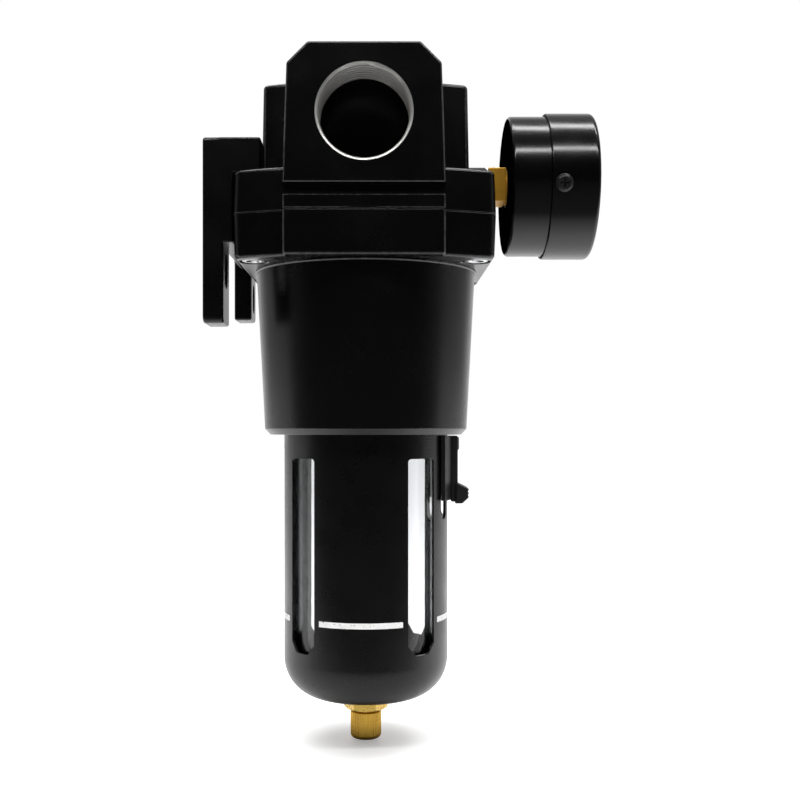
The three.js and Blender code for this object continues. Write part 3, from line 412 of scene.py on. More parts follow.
CAST_PAINT = surface("cast_paint", BLACK, 0.25, vary=0.25, rough_vary=0.03, patch=30, wear_and_highlight=WORN_PAINT_AND_HIGHLIGHT,
                     grain=[(1500, 0.012), (420, 0.01)], specks=(2600, 0.78, (0.01, 0.01, 0.01)))
BRACKET_PAINT = surface("bracket_paint", BLACK, 0.28, vary=0.25, rough_vary=0.03, patch=30,
                        grain=[(1500, 0.014), (420, 0.01)])
BARREL_PAINT = surface("barrel_paint", BLACK, 0.26, patch=25, rough_vary=0.03, wear_and_highlight=WORN_PAINT_AND_HIGHLIGHT,
                       grain=[(1800, 0.012), (300, 0.008)])
GAUGE_ENAMEL = surface("gauge_enamel", (0.001, 0.001, 0.0012), 0.2, patch=40, rough_vary=0.03,
                       grain=[(2200, 0.008, (1, 0.05, 0.05)), (500, 0.006)])
GUARD_COAT = surface("guard_coat", (0.0015, 0.0014, 0.0014), 0.29, patch=35, rough_vary=0.05,
                     grain=[(2600, 0.02, ALONG_BOWL), (600, 0.015)])
BARE_ALUMINIUM = surface("bare_aluminium", (0.8, 0.79, 0.76), 0.36, 0.88, vary=0.12, patch=120,
                         grain=[(1500, 0.006)])
ZINC_PLATE = surface("zinc_plate", (0.74, 0.74, 0.76), 0.24, 1, vary=0.08, patch=300,
                     grain=[(2500, 0.012)])
STAINLESS = surface("stainless_steel", (0.6, 0.6, 0.61), 0.28, 1, vary=0.08, patch=200,
                    grain=[(2500, 0.015, DRAWN_DOWN)])
DRAIN_BRASS = surface("drain_brass", (0.6, 0.36, 0.06), 0.24, 1, vary=0.1, patch=160,
                      grain=[(2600, 0.012, ALONG_BOWL)])
NUT_BRASS = surface("nut_brass", (0.95, 0.62, 0.13), 0.28, 0.5, vary=0.08, patch=160,
                    grain=[(2600, 0.012, ALONG_BOWL)])
GAUGE_BRASS = surface("gauge_brass", (0.74, 0.38, 0.035), 0.4, 0.5, vary=0.12, patch=140,
                      grain=[(2200, 0.015)])
CLEAR_BOWL = surface("clear_polycarbonate", (0.97, 0.98, 0.99), 0.035, vary=0.01, rough_vary=0.01, patch=20,
                     grain=[(60, 0.02)], Transmission_Weight=1, IOR=1.45)
WINDOW = surface("gauge_window", (0.97, 0.98, 0.98), 0.02, vary=0.01, rough_vary=0.005, patch=20,
                 grain=[(80, 0.004)], Transmission_Weight=1, IOR=1.45)
BLACKENED_STEEL = surface("blackened_steel", (0.03, 0.03, 0.032), 0.3, 0.7, vary=0.15, patch=300,
                          grain=[(2500, 0.012)])
RUBBER = surface("nitrile_rubber", (0.012, 0.012, 0.012), 0.62, patch=90, grain=[(1800, 0.04)])
LOCK_PLASTIC = surface("moulded_nylon", (0.011, 0.011, 0.0115), 0.4, patch=80,
                       grain=[(2200, 0.04), (500, 0.02)])
BLACK_PLASTIC = surface("black_plastic", (0.014, 0.014, 0.014), 0.45, patch=90, grain=[(1800, 0.03)])
WHITE_PLASTIC = surface("white_acetal", (0.78, 0.78, 0.75), 0.42, vary=0.05, patch=70,
                        grain=[(1500, 0.02)], Subsurface_Weight=0.1)
FILTER_MEDIA = surface("porous_media", (0.8, 0.76, 0.67), 0.85, vary=0.1, patch=90,
                       grain=[(1300, 0.35), (500, 0.2)], specks=(1700, 0.62, (0.6, 0.56, 0.47)))
DIAL_ENAMEL = surface("dial_enamel", (0.86, 0.86, 0.84), 0.38, vary=0.03, patch=60,
                      grain=[(1200, 0.01)])
BLACK_PRINT = surface("black_print", (0.012, 0.012, 0.012), 0.5, patch=200, grain=[(2500, 0.01)])
WHITE_PRINT = surface("white_print", (0.97, 0.97, 0.95), 0.55, vary=0.1, patch=400,
                      grain=[(2500, 0.02)], specks=(1500, 0.66, (0.2, 0.2, 0.2)))


def dull_side(material, sign, least=0):
    """Takes the gloss off the faces that look along X (sign 1) or -X (sign -1), which are left rougher."""
    tree = material.node_tree
    split = add(tree, "SeparateXYZ", Vector=add(tree, "NewGeometry").outputs["True Normal"])
    gloss = mapped(tree, split.outputs["X"], sign * 0.98, sign * 0.8, least, 0.5)
    plug(tree, gloss, tree.nodes["Principled BSDF"].inputs["Specular IOR Level"])


dull_side(GAUGE_ENAMEL, -1)
dull_side(BRACKET_PAINT, 1, 0.12)


# ---- head casting
HEAD_LOW, HEAD_HIGH = millimetres("head_body")
HOUSING_LOW, HOUSING_HIGH = millimetres("housing")
HALF_X, HALF_Y = HEAD_HIGH[0], HEAD_HIGH[1]
PARTING = HEAD_LOW[2]
FLANGE_TOP = PARTING + 14.5
FLANGE_BOTTOM = PARTING - 15.2
BOW = 116  # radius of the flange's bowed front and back
CORNER_X, CORNER_Y = 38.2, 28  # flange screws
THREAD_PITCH, THREAD_DEPTH, THREAD_LENGTH = 2.209, 0.85, 15.5
MOUTH_RADIUS = 15.85
LINING_WALL = 0.4
LIP = 1.1  # rounding at the start of the thread
THREAD_TAPER = 1 / 32
DRAFT = 0.5
PARTING_EDGE = 0.25  # rounding of the castings' edges along the line where they meet
HEAD_HALF_WIDTH, SHOULDER, SHOULDER_IN, TOP_IN = 26.9, 16, 1.3, 8.3  # the port block's section
GROOVE_LOW, GROOVE_HIGH, GROOVE_DEPTH, GROOVE_CHAMFER = -27.3, -23.3, 2.5, 0.35
BORE_RADIUS, WALL_Y, OUTLET_END = 15, 20, 6  # the port bore, and where its two halves end
BRACKET_SCREW_Y, BRACKET_SCREW_Z = 22, -24.6
CASE_LOW, CASE_HIGH = millimetres("gauge_case")
GAUGE_X, GAUGE_Z = CASE_LOW[0], (CASE_LOW[2] + CASE_HIGH[2]) / 2  # the middle of the case's back


def bowed(x, half_y=HALF_Y):
    return half_y - (BOW - math.sqrt(BOW ** 2 - x ** 2))


def bowed_outline(half_x, half_y, corner):
    """A plan with straight sides, bowed front and back, and rounded corners."""
    side = [(half_x * (1 - 2 * i / 24), bowed(half_x * (1 - 2 * i / 24), half_y)) for i in range(25)]
    outline = side + [(-x, -y) for x, y in side]
    radii = {0: corner, 24: corner, 25: corner, 49: corner}
    pruned = []
    for i, (x, y) in enumerate(outline):
        near = i not in radii and abs(abs(x) - half_x) < corner * 1.1
        if not near:
            pruned.append((x, y, radii.get(i, 0)))
    return rounded(pruned, 0, 6)


def round_hole(radius, low, high, matrix, segments=LARGE, chamfer=0.0):
    """A tool for a hole with a chamfered mouth at the high end."""
    wide, above = radius + chamfer, high + 1
    profile = [(0, low), (radius, low), (radius, high - chamfer), (wide, high), (wide, above), (0, above)]
    return lathe("hole", profile, segments, matrix)


def at(axis, origin, flipped=False):
    """A frame whose Z runs along an axis through origin, backwards if flipped."""
    columns = {"x": (Y, Z, X), "y": (Z, X, Y), "z": (X, Y, Z)}[axis]
    if flipped:
        columns = (columns[1], columns[0], -columns[2])
    return basis(*columns, origin)


def head_casting():
    top, half = HEAD_HIGH[2], HEAD_HALF_WIDTH
    section = [(PARTING, half, 0), (PARTING, -half, 0), (-23, -half, 8), (SHOULDER, SHOULDER_IN - half, 1.6),
               (top, TOP_IN - half, 1.6), (top, half - TOP_IN, 1.6), (SHOULDER, half - SHOULDER_IN, 1.6),
               (-23, half, 8)]
    body = slab("head_casting", rounded(section, 1, 5), -HALF_Y, HALF_Y, 0.9, ALONG_Y)
    flange = slab("flange", bowed_outline(HALF_X, HALF_Y, 4), PARTING, FLANGE_TOP, 1.3,
                  draft_high=DRAFT, low_edge=PARTING_EDGE)
    cross = slab("cross", bowed_outline(37.5, 17, 3), -20, 19.3, 1.5, draft_high=0.7)
    gauge_axis = at("x", (0, 0, GAUGE_Z))
    boss = lathe("boss", [(0, 33), (7.2, 33), (7.2, HALF_X - 0.8), (6.4, HALF_X), (0, HALF_X)], MEDIUM,
                 gauge_axis)
    union(body, flange, cross, boss)
    tools = []
    thread_end, mouth_radius = HALF_Y - THREAD_LENGTH, MOUTH_RADIUS + LINING_WALL + 0.05
    for name, sign, end in (("inlet", -1, WALL_Y), ("outlet", 1, OUTLET_END)):
        mouth = at("y", (0, 0, 0), flipped=sign < 0)
        tools.append(round_hole(mouth_radius, thread_end, HALF_Y, mouth))
        tools.append(round_hole(BORE_RADIUS, end, thread_end + 1, mouth))
        lip = [(HALF_Y + 1, GROOVE_CHAMFER + 1), (HALF_Y, GROOVE_CHAMFER), (HALF_Y - GROOVE_CHAMFER, 0),
               (HALF_Y - GROOVE_DEPTH, 0)]
        groove = [(sign * y, GROOVE_LOW - z) for y, z in lip]
        groove += [(sign * y, GROOVE_HIGH + z) for y, z in reversed(lip)]
        tools.append(plain_prism(name + "_groove", groove, -29, 29, ALONG_X))
    tools.append(block("drop", (-14, -34, PARTING - 2), (14, -WALL_Y, 0), 2))
    tools.append(round_hole(12, PARTING - 2, 0, ALONG_Z))
    tools.append(lathe("chamber", rectangle(15, PARTING - 2, 33, -26)))
    tools.append(round_hole(4.95, 34.5, HALF_X, gauge_axis, MEDIUM, 0.5))
    for sign in (-1, 1):
        hole = at("x", (0, sign * BRACKET_SCREW_Y, BRACKET_SCREW_Z), flipped=True)
        tools.append(round_hole(3.2, 32.5, HALF_X, hole, MEDIUM, 0.3))
        for side in (-1, 1):
            corner = at("z", (side * CORNER_X, sign * CORNER_Y, 0))
            tools.append(round_hole(2.65, PARTING - 2, PARTING + 12, corner, MEDIUM))
    cut(body, *tools)
    bridge = block("bridge", (-12.6, -2.5, PARTING + 0.1), (12.6, 2.5, -24), 0.3)
    hub = lathe("hub", rectangle(3.25, PARTING + 0.1, 5, -24), MEDIUM)
    stud_hole = round_hole(3.25, PARTING - 1, -23, ALONG_Z, MEDIUM)
    union(body, cut(bridge, stud_hole), hub)
    mark_worn_edges(body.data)
    finish(body, CAST_PAINT, ["head_body"])


def port_thread(name, sign):
    """A lining for the port mouth, with a rounded lip and a helical thread that tapers inwards."""
    start, end = HALF_Y - 0.02, HALF_Y - THREAD_LENGTH + 0.2
    rows_per_turn, lip_rows = 20, 6
    outer = MOUTH_RADIUS + LINING_WALL
    rows = int(THREAD_LENGTH / THREAD_PITCH * rows_per_turn)
    insides = [LIP * (1 - math.cos(math.pi / 2 * i / lip_rows)) for i in range(lip_rows)]
    insides += [LIP + (start - end - LIP) * i / rows for i in range(rows + 1)]
    loops = []
    for inside in insides:
        mouth = MOUTH_RADIUS - inside * THREAD_TAPER
        lip = outer - math.sqrt(LIP ** 2 - max(0, LIP - inside) ** 2)
        row = []
        for j in range(LARGE):
            angle = 2 * math.pi * j / LARGE
            phase = ((start - inside) / THREAD_PITCH + sign * angle / (2 * math.pi)) % 1
            ridge = min(1, max(0, 2 * (1 - abs(2 * phase - 1)) - 0.3))
            row.append((*polar(max(mouth - THREAD_DEPTH * ridge, lip), angle), start - inside))
        loops.append(row)
    loops.append([(outer * a, outer * b, end) for a, b in circle(1, LARGE)])
    lining = skin(name, loops, at("y", (0, 0, 0), flipped=sign < 0), wrap=True)
    finish(lining, BARE_ALUMINIUM, sharp=30)


# ---- housing, screws and bracket
def housing_casting():
    end, top = HOUSING_LOW[2], HOUSING_HIGH[2]
    flange = slab("housing_casting", bowed_outline(HALF_X, HALF_Y, 4), FLANGE_BOTTOM, top, 1.3,
                  draft_low=DRAFT, high_edge=PARTING_EDGE)
    plan = rounded(rectangle(-27, -HALF_Y, 27, HALF_Y), 1.2)
    blocks = slab("blocks", plan, FLANGE_BOTTOM, top, 1.2, high_edge=PARTING_EDGE)
    barrel = lathe("barrel", [
        (0, end, 0), (35, end, 0.5), (37, end + 2.1, 0.6), (40, FLANGE_BOTTOM - 0.9, 0),
        (40.4, FLANGE_BOTTOM - 0.5, 0), (40.4, -40, 0), (0, -40, 0),
    ], LARGE, round_by=0.5)
    cavity = lathe("cavity", [
        (0, end - 1), (30.7, end - 1), (30.7, -103.1), (33.6, -103.1), (33.6, -98.9), (31.3, -98.9),
        (31.3, -85.5), (34, -84), (34, top + 1), (0, top + 1),
    ])
    tools = [cavity, lathe("ring_groove", rectangle(36, top - 2.5, 39, top + 1))]
    for i in range(4):
        entry = block(f"lug_entry_{i}", (28, -4.6, end - 1), (33.6, 4.6, -98.5), 0.2)
        tools.append(turn(entry, 42 + 90 * i))
    sink_end = -FLANGE_BOTTOM
    for side in (-1, 1):
        for sign in (-1, 1):
            place = at("z", (side * CORNER_X, sign * CORNER_Y, 0), flipped=True)
            tools.append(round_hole(5, sink_end - 5.5, sink_end, place, MEDIUM, 0.3))
            tools.append(round_hole(2.8, -top - 2, sink_end - 5, place, MEDIUM))
    body = cut(union(flange, blocks, barrel), *tools)
    mark_worn_edges(body.data)
    finish(body, BARREL_PAINT, ["housing"])


def socket_screw(name, head_radius, head_length, shank_radius, length, flats, place, node):
    """A knurled socket head screw. Its head's face is at local 0 and the shank points along local Z."""
    knurls = 36
    outline = []
    for i in range(knurls * 2):
        outline.append(polar(head_radius - (0.14 if i % 2 else 0), math.pi * i / knurls))
    head = slab(name, outline, 0, head_length, 0.45)
    socket_corner = flats / 2 / math.cos(math.pi / 6)
    socket = plain_prism("socket", circle(socket_corner, 6), -1, head_length * 0.55)
    dish_profile = [(0, -1), (socket_corner + 1.4, -1), (socket_corner - 0.25, 0.6), (0, 0.6)]
    dish = lathe("dish", dish_profile, MEDIUM)
    start = head_length - 0.2
    shank_profile = [(0, start, 0), (shank_radius, start, 0), (shank_radius, length, 0.5), (0, length, 0)]
    shank = lathe("shank", shank_profile, MEDIUM, round_by=0.5)
    screw = union(cut(head, socket, dish), shank)
    screw.data.transform(Matrix.Translation(place.translation * MM) @ place.to_3x3().to_4x4())
    finish(screw, ZINC_PLATE, [node], sharp=40)


def corner_screws():
    for i in range(1, 5):
        node = f"housing_screw_{i}"
        low, high = millimetres(node)
        middle = ((low[0] + high[0]) / 2, (low[1] + high[1]) / 2, low[2])
        length = high[2] - low[2]
        socket_screw(f"flange_screw_{i}", 4.25, 5, 2.5, length, 4, at("z", middle), node)


PLATE_THICKNESS, PAD_THICKNESS = 7.1, 3.3
LEG_WIDTH, SLOT_RADIUS, SLOT_LOW, SLOT_HIGH = 15.5, 3.1, -56, -44
PAD_BOTTOM, LIP_BOTTOM, LIP_INNER = -41, -17.2, 18.2
WEB, FAR_LEG_END = -34, -59.5


def wall_bracket():
    low, high = millimetres("wall_bracket")
    back, near, far, top = low[0], low[1], high[1], high[2]
    front = back + PLATE_THICKNESS
    near_leg, near_side, far_side = low[2], near + LEG_WIDTH, far - LEG_WIDTH
    outline = [(near, top, 1.5), (near, near_leg, 2.5), (near_side, near_leg, 1), (near_side, WEB, 4),
               (far_side, WEB, 4), (far_side, FAR_LEG_END, 1), (far, FAR_LEG_END, 2.5), (far, top, 1.5)]
    plate = slab("mounting_bracket", rounded(outline, 1), back, front, 0.9, ALONG_X)
    step = 0.06  # keeps the faces of the pad and the lips off the plate's own faces, for a clean join
    inner = near + 2 * step
    pad = rounded(rectangle(inner, PAD_BOTTOM, -inner, LIP_BOTTOM + 2), 0.8)
    union(plate, slab("pad", pad, front - 2, front + PAD_THICKNESS, 0.7, ALONG_X))
    for side, start, end in (("near", near + step, -LIP_INNER), ("far", LIP_INNER, -near)):
        corners = (front - 2, start, LIP_BOTTOM), (high[0], end, top - step)
        union(plate, block("lip_" + side, *corners, 0.8))
    tools = []
    for number, sign in ((1, -1), (2, 1)):
        middle = near + LEG_WIDTH / 2 if sign < 0 else far - LEG_WIDTH / 2
        slot = long_hole(middle, SLOT_RADIUS, SLOT_LOW, SLOT_HIGH, 16)
        tools.append(plain_prism(f"slot_{number}", slot, back - 1, front + 1, ALONG_X))
        place = at("x", (0, sign * BRACKET_SCREW_Y, BRACKET_SCREW_Z), flipped=True)
        tools.append(round_hole(3.3, -front - PAD_THICKNESS - 1, -back - 6, place, MEDIUM))
        tools.append(round_hole(5.5, -back - 6.5, -back, place, MEDIUM, 0.3))
        node = f"bracket_screw_{number}"
        head, tip = [corner[0] for corner in millimetres(node)]
        start = at("x", (head, sign * BRACKET_SCREW_Y, BRACKET_SCREW_Z))
        socket_screw(f"bracket_bolt_{number}", 5, 6, 2.9, tip - head, 5, start, node)
    finish(cut(plate, *tools), BRACKET_PAINT, ["wall_bracket"])


# ---- bowl, guard, lock and drain
CLOCKING = -3  # the lock stands this many degrees off the X axis
GUARD_BOTTOM, GUARD_TOP = heights("bowl_guard")
GUARD_RADIUS, GUARD_WALL = 30, 1
GUARD_CORNER = 14.5
GUARD_STRAIGHT_END = GUARD_BOTTOM + GUARD_CORNER
SLOT_TOP, SLOT_BOTTOM, SLOT_HALF_WIDTH = -115, -183.5, 6.24
SLOT_CHAMFER_ACROSS, SLOT_CHAMFER_UP = 3.2, 3.6
WINDOW_ANGLE, WINDOW_RADIUS, WINDOW_TOP, WINDOW_BOTTOM = 17, 3, -110, -137
LEVEL_BAND = (-173.1, -171.1)
SEAT_TOP, SEAT_BOTTOM = -195.9, -197.3  # the cone that the drain screw closes on


def radial_tool(name, outline, angle):
    """A cutter through the guard's wall: an outline of (tangent, z) pushed outwards, then turned."""
    return turn(plain_prism(name, outline, GUARD_RADIUS / 2, GUARD_RADIUS + 5, ALONG_X), angle)


def guard():
    outer, inner = GUARD_RADIUS, GUARD_RADIUS - GUARD_WALL
    corner_r, corner_z = outer - GUARD_CORNER, GUARD_STRAIGHT_END
    profile = [
        (outer, GUARD_TOP - 0.3), (outer, corner_z), *arc(corner_r, corner_z, GUARD_CORNER, 0, -90, 18)[1:],
        (8.4, GUARD_BOTTOM), (8, GUARD_BOTTOM + 0.4), (8, GUARD_BOTTOM + GUARD_WALL),
        *arc(corner_r, corner_z, GUARD_CORNER - GUARD_WALL, -90, 0, 18), (inner, GUARD_TOP),
        (outer - 0.3, GUARD_TOP),
    ]
    shell = lathe("guard_shell", profile)
    lugs = [block(f"lug_{i}", (outer - 0.7, -4, -102.8), (33, 4, -99.2), 0.4) for i in range(4)]
    union(shell, *[turn(lug, 90 * i) for i, lug in enumerate(lugs)])
    half, corner = SLOT_HALF_WIDTH, SLOT_BOTTOM + SLOT_CHAMFER_UP
    narrow = half - SLOT_CHAMFER_ACROSS
    slot = rounded([(-half, SLOT_TOP, 1.2), (-half, corner, 0.8), (-narrow, SLOT_BOTTOM, 0.8),
                    (narrow, SLOT_BOTTOM, 0.8), (half, corner, 0.8), (half, SLOT_TOP, 1.2)], 1, 4)
    cutters = [radial_tool(f"slot_{i}", slot, 45 + 90 * i) for i in range(4)]
    window = long_hole(0, WINDOW_RADIUS, WINDOW_BOTTOM, WINDOW_TOP, 14)
    cutters += [radial_tool(f"window_{sign}", window, sign * WINDOW_ANGLE) for sign in (-1, 1)]
    cut(shell, *cutters)
    union(shell, block("spring_shelf", (inner + 0.4, -1.6, -130.2), (32.6, 1.6, -129.5), 0.1))
    turn(shell, CLOCKING)
    finish(shell, GUARD_COAT, ["bowl_guard"], body="bowl_unit", sharp=35)


def curved_patch(name, radius, thickness, start, end, low, high, steps=24):
    """A thin patch on a cylinder, angles in degrees."""
    outline = [*arc(0, 0, radius + thickness, start, end, steps), *arc(0, 0, radius, end, start, steps)]
    return plain_prism(name, outline, low, high)


def level_bands():
    """The printed fill-level band on each of the guard's four panels, between its slots."""
    for i in range(4):
        middle = -90 + 90 * i
        name = f"level_band_{i + 1}"
        band = curved_patch(name, GUARD_RADIUS + 0.01, 0.04, middle - 29, middle + 29, *LEVEL_BAND)
        turn(band, CLOCKING)
        finish(band, WHITE_PRINT, body="bowl_unit")


def clear_bowl():
    end, corner, inner_corner = -189, 11, 8.2
    boss_end = heights("bowl")[0]
    outer, inner = 27.7, 24.9
    profile = [
        (inner, -88.3), (inner + 0.3, -88), (30.6, -88), (31, -88.4), (31, -91), (28.8, -91), (28.8, -94.2),
        (31, -94.2), (31, -98.1), (30.8, -98.3), (28.2, -98.3), (outer, -98.8), (outer, end),
        *arc(outer - corner, end, corner, 0, -90, 16)[1:], (7.6, end - corner), (7, end - corner - 0.6),
        (7, boss_end + 0.3), (6.7, boss_end), (5.1, boss_end), (5.1, end - inner_corner),
        *arc(inner - inner_corner, end, inner_corner, -90, 0, 14),
    ]
    bowl = lathe("clear_bowl", profile)
    finish(bowl, CLEAR_BOWL, ["bowl"], body="bowl_unit", sharp=40)


def seal(name, radius, wire, height, node, body):
    profile = circle(wire, 16, (radius, height))
    finish(lathe(name, profile), RUBBER, [node], body, sharp=80)


def lock():
    low, top = -130.2, -107
    plate_outline = rounded([*arc(0, 0, 31.9, -24, 24, 24), *arc(0, 0, 30.3, 24, -24, 24)], 0)
    plate = slab("lock_slider", plate_outline, low, top, 0.3, steps=2)
    rib = block("rib", (31.2, -5, low - 0.8), (33.8, 5, top - 0.02), 0.6)
    nib = block("nib", (33, -4.2, -112.2), (34.2, 4.2, -107.4), 0.5)
    side = [(-131.6, 32.8, 0.2), (-124.3, 32.8, 0.2), (-124.3, 33.9, 0.4), (-126.1, 37.5, 0.7),
            (-129.6, 37.6, 0.7), (-131.6, 35.4, 0.8)]
    tab = slab("tab", rounded(side, 0.5), -6, 6, 0.5, ALONG_Y)
    union(plate, rib, nib, tab)
    for i in range(3):
        foot = -129.5 + 1.3 * i
        union(plate, block(f"ridge_{i}", (36.6, -5.2, foot), (37.8, 5.2, foot + 0.6), 0.25))
    for sign in (-1, 1):
        leg = turn(block(f"leg_{sign}", (28.3, -2.2, -124), (30.7, 2.2, -113), 0.3), sign * WINDOW_ANGLE)
        hook = curved_patch(f"hook_{sign}", 27.98, 0.74, -8, 8, -123.98, -113.02)
        union(plate, leg, turn(hook, sign * WINDOW_ANGLE))
    cut(plate, block("pocket", (29, -2, -140), (33.1, 2, -115.1), 0.2))
    turn(plate, CLOCKING)
    finish(plate, LOCK_PLASTIC, ["lock_button"], body="lock")


def lock_spring():
    low, high = heights("lock_spring")
    turns, wire, coil = 6, 0.25, 1
    steps = turns * 20
    points = []
    for i in range(steps + 1):
        share = i / steps
        a, b = polar(coil, share * turns * 2 * math.pi)
        points.append((31.8 + a, b, low + wire + share * (high - low - 2 * wire)))
    coil_piece = turn(tube("return_spring", points, wire, 10), CLOCKING)
    finish(coil_piece, STAINLESS, ["lock_spring"], body="bowl_unit", sharp=60)
    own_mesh(coil_piece)


def drain_body():
    low, high = heights("drain_body")
    flange_low = high - 2.5
    profile = [
        (1.4, high), (7.2, high), (7.5, high - 0.3), (7.5, flange_low), (4.9, flange_low), (4.9, low + 0.3),
        (4.6, low), (2.8, low), (2.8, SEAT_BOTTOM), (1.4, SEAT_TOP),
    ]
    finish(lathe("drain_fitting", profile), DRAIN_BRASS, ["drain_body"], body="bowl_unit")


def hexagon_nut(name, flats, low, high, bore, chamfer):
    corner = flats / 2 / math.cos(math.pi / 6)
    hexagon = slab(name, rounded(circle(corner, 6), 0.35, 3), low, high, 0.15, steps=2)
    beyond = corner + 0.05
    turned = lathe("turned", [
        (0, low), (corner - chamfer, low), (beyond, low + chamfer * 0.6), (beyond, high - chamfer * 0.5),
        (corner - chamfer * 0.8, high), (0, high),
    ])
    combine(hexagon, [turned], "INTERSECT")
    return cut(hexagon, round_hole(bore, low - 1, high, ALONG_Z, MEDIUM, 0.3))


def drain_nut():
    nut = turn(hexagon_nut("drain_hexagon", 14, *heights("drain_nut"), 5.08, 1.2), CLOCKING)
    finish(nut, NUT_BRASS, ["drain_nut"], body="bowl_unit", sharp=25)


def drain_knob():
    bottom, tip = heights("drain_knob")
    flutes, radius, top = 28, 5.65, -207.6
    outline = []
    for i in range(flutes * 6):
        wave = 0.5 - 0.5 * math.cos(2 * math.pi * i / 6)
        outline.append(polar(radius - 0.28 * wave, 2 * math.pi * i / (flutes * 6)))
    foot = [(1.5, 0), (1.1, 0.08), (0.5, 0.45), (0.12, 1), (0, 1.5)]
    shoulder = [(0, 0.9), (0.25, 0.6), (0.9, 0.4)]
    rings = [(shrink, bottom + up) for shrink, up in foot]
    rings += [(shrink, top - down) for shrink, down in shoulder]
    loops = []
    for shrink, height in rings:
        scale = (radius - shrink) / radius
        loops.append([(a * scale, b * scale, height) for a, b in outline])
    knob = skin("drain_screw", loops)
    collar = lathe("collar", [(0, top - 0.5), (4.6, top - 0.5), (4.6, top), (0, top)], MEDIUM)
    stem = lathe("stem", [
        (0, top - 0.2), (2.5, top - 0.2), (2.5, -203.5), (1.95, -203.5), (1.95, -202.5), (2.5, -202.5),
        (2.5, tip - 1.5), (1, tip), (0, tip),
    ], MEDIUM)
    union(knob, collar, stem)
    outlet_profile = [(0, bottom - 1), (2.1, bottom - 1), (1, bottom + 0.7), (1, -198.4), (0, -198.4)]
    outlet = lathe("outlet", outlet_profile, MEDIUM)
    cross = round_hole(0.7, -4, 4, at("x", (0, 0, -199.1)), SMALL)
    cut(knob, outlet, cross)
    finish(knob, DRAIN_BRASS, ["drain_knob"], body="drain_valve")


# ---- filter set
def deflector():
    low, high = heights("deflector")
    disc = lathe("swirl_deflector", [
        (12.4, low), (25.7, low), (26, low + 0.3), (26, low + 5), (24, low + 5), (24, low + 2),
        (15, low + 2), (15, high), (12.4, high),
    ])
    for i in range(8):
        vane = block(f"vane_{i}", (24.5, -0.8, -3.5), (33.2, 0.8, 3.5), 0.3)
        lift = Matrix.Translation((0, 0, -36.1 * MM))
        vane.data.transform(lift @ Matrix.Rotation(math.radians(40), 4, "X"))
        union(disc, turn(vane, 45 * i))
    finish(disc, WHITE_PLASTIC, ["deflector"])


def ring(name, node, inner, outer, edge, material, body="head_unit"):
    """A plain ring with rounded edges, as high as its CAD node."""
    low, high = heights(node)
    piece = lathe(name, rectangle(inner, low, outer, high), round_by=edge)
    finish(piece, material, [node], body)


def filter_set():
    ring("porous_element", "filter_element", 16.5, 24, 0.6, FILTER_MEDIA)
    low, high = heights("element_stud")
    stud = lathe("tie_stud", [(0, low, 0), (3, low, 0.5), (3, high, 0.5), (0, high, 0)], MEDIUM,
                 round_by=0.5)
    finish(stud, STAINLESS, ["element_stud"])
    low, high = heights("baffle")
    baffle = lathe("quiet_zone_baffle", [
        (3.4, low, 0), (9, low, 2), (23.5, low + 4, 0.8), (23.5, high, 0.5), (3.4, high, 0),
    ], round_by=0.5)
    finish(baffle, BLACK_PLASTIC, ["baffle"])
    nut = hexagon_nut("element_nut", 10, *heights("baffle_nut"), 3.3, 0.8)
    finish(nut, DRAIN_BRASS, ["baffle_nut"], sharp=25)
    ring("flat_gasket", "element_gasket", 16.8, 23.5, 0.3, RUBBER)
    ring("drain_washer", "drain_seal", 5.2, 7.4, 0.25, RUBBER, "bowl_unit")


# ---- gauge, facing local +Z
GAUGE = basis(Y, Z, X, (GAUGE_X, 0, GAUGE_Z))
CASE_RADIUS, RING_RADIUS = 25.2, 26.3
CASE_DEPTH, RING_START, RING_END = 26, 13.5, 30.6
SCREW_HEIGHT, SCREW_ANGLES = 17.5, (-171.2, 8.8)
DIAL_RADIUS, DIAL_LOW, DIAL_HIGH = 23.8, 20.6, 21.2
DIAL_SCREW_X, DIAL_SCREW_Y = 5.5, -9
ZERO_ANGLE, SWEEP, SCALE_END = 225, 270, 10  # the scale runs clockwise from 0 to 10
STEM_PITCH = 1.34


def radial(angle):
    """A frame whose Z runs out from the gauge's axis through its case screw at an angle."""
    turned = GAUGE @ Matrix.Rotation(math.radians(angle), 4, "Z")
    return turned @ Matrix.Translation((0, 0, SCREW_HEIGHT)) @ ALONG_X


def gauge_stem():
    half = 6.1
    square = rounded(rectangle(-half, -half, half, half), 0.5)
    stem = slab("gauge_stem_body", square, -6.7, -0.3, 0.35, GAUGE)
    thread = [(0, -16, 0), (4, -16, 0)]
    for i in range(6):
        root = -15.6 + STEM_PITCH * i
        thread += [(4, root, 0), (4.7, root + STEM_PITCH / 2, 0)]
    thread += [(4, -7.3, 0), (4, -6.5, 0), (0, -6.5, 0)]
    neck = [(0, -0.4), (6.6, -0.4), (6.6, 1.2), (6.2, 1.6), (0, 1.6)]
    union(
        stem, lathe("stem_thread", thread, MEDIUM, GAUGE),
        lathe("neck", neck, MEDIUM, GAUGE),
        slab("inner_block", rounded(rectangle(-4, -19, 4, 5), 0.8), 1.5, 9, 0.4, GAUGE),
    )
    cut(stem, round_hole(1, -17, 5, GAUGE, SMALL))
    finish(stem, GAUGE_BRASS, ["gauge_stem"])


def screw_bores():
    return [round_hole(1.7, 20, 30, radial(angle), SMALL) for angle in SCREW_ANGLES]


def gauge_case():
    inner = CASE_RADIUS - 1
    shell = lathe("gauge_housing", [
        (7, 0, 0.3), (CASE_RADIUS, 0, 1.2), (CASE_RADIUS, CASE_DEPTH, 0.3), (inner, CASE_DEPTH, 0.3),
        (inner, 1, 0.8), (7, 1, 0.3),
    ], 2 * LARGE, GAUGE, round_by=0.3, steps=5)
    cut(shell, *screw_bores())
    finish(shell, GAUGE_ENAMEL, ["gauge_case"])


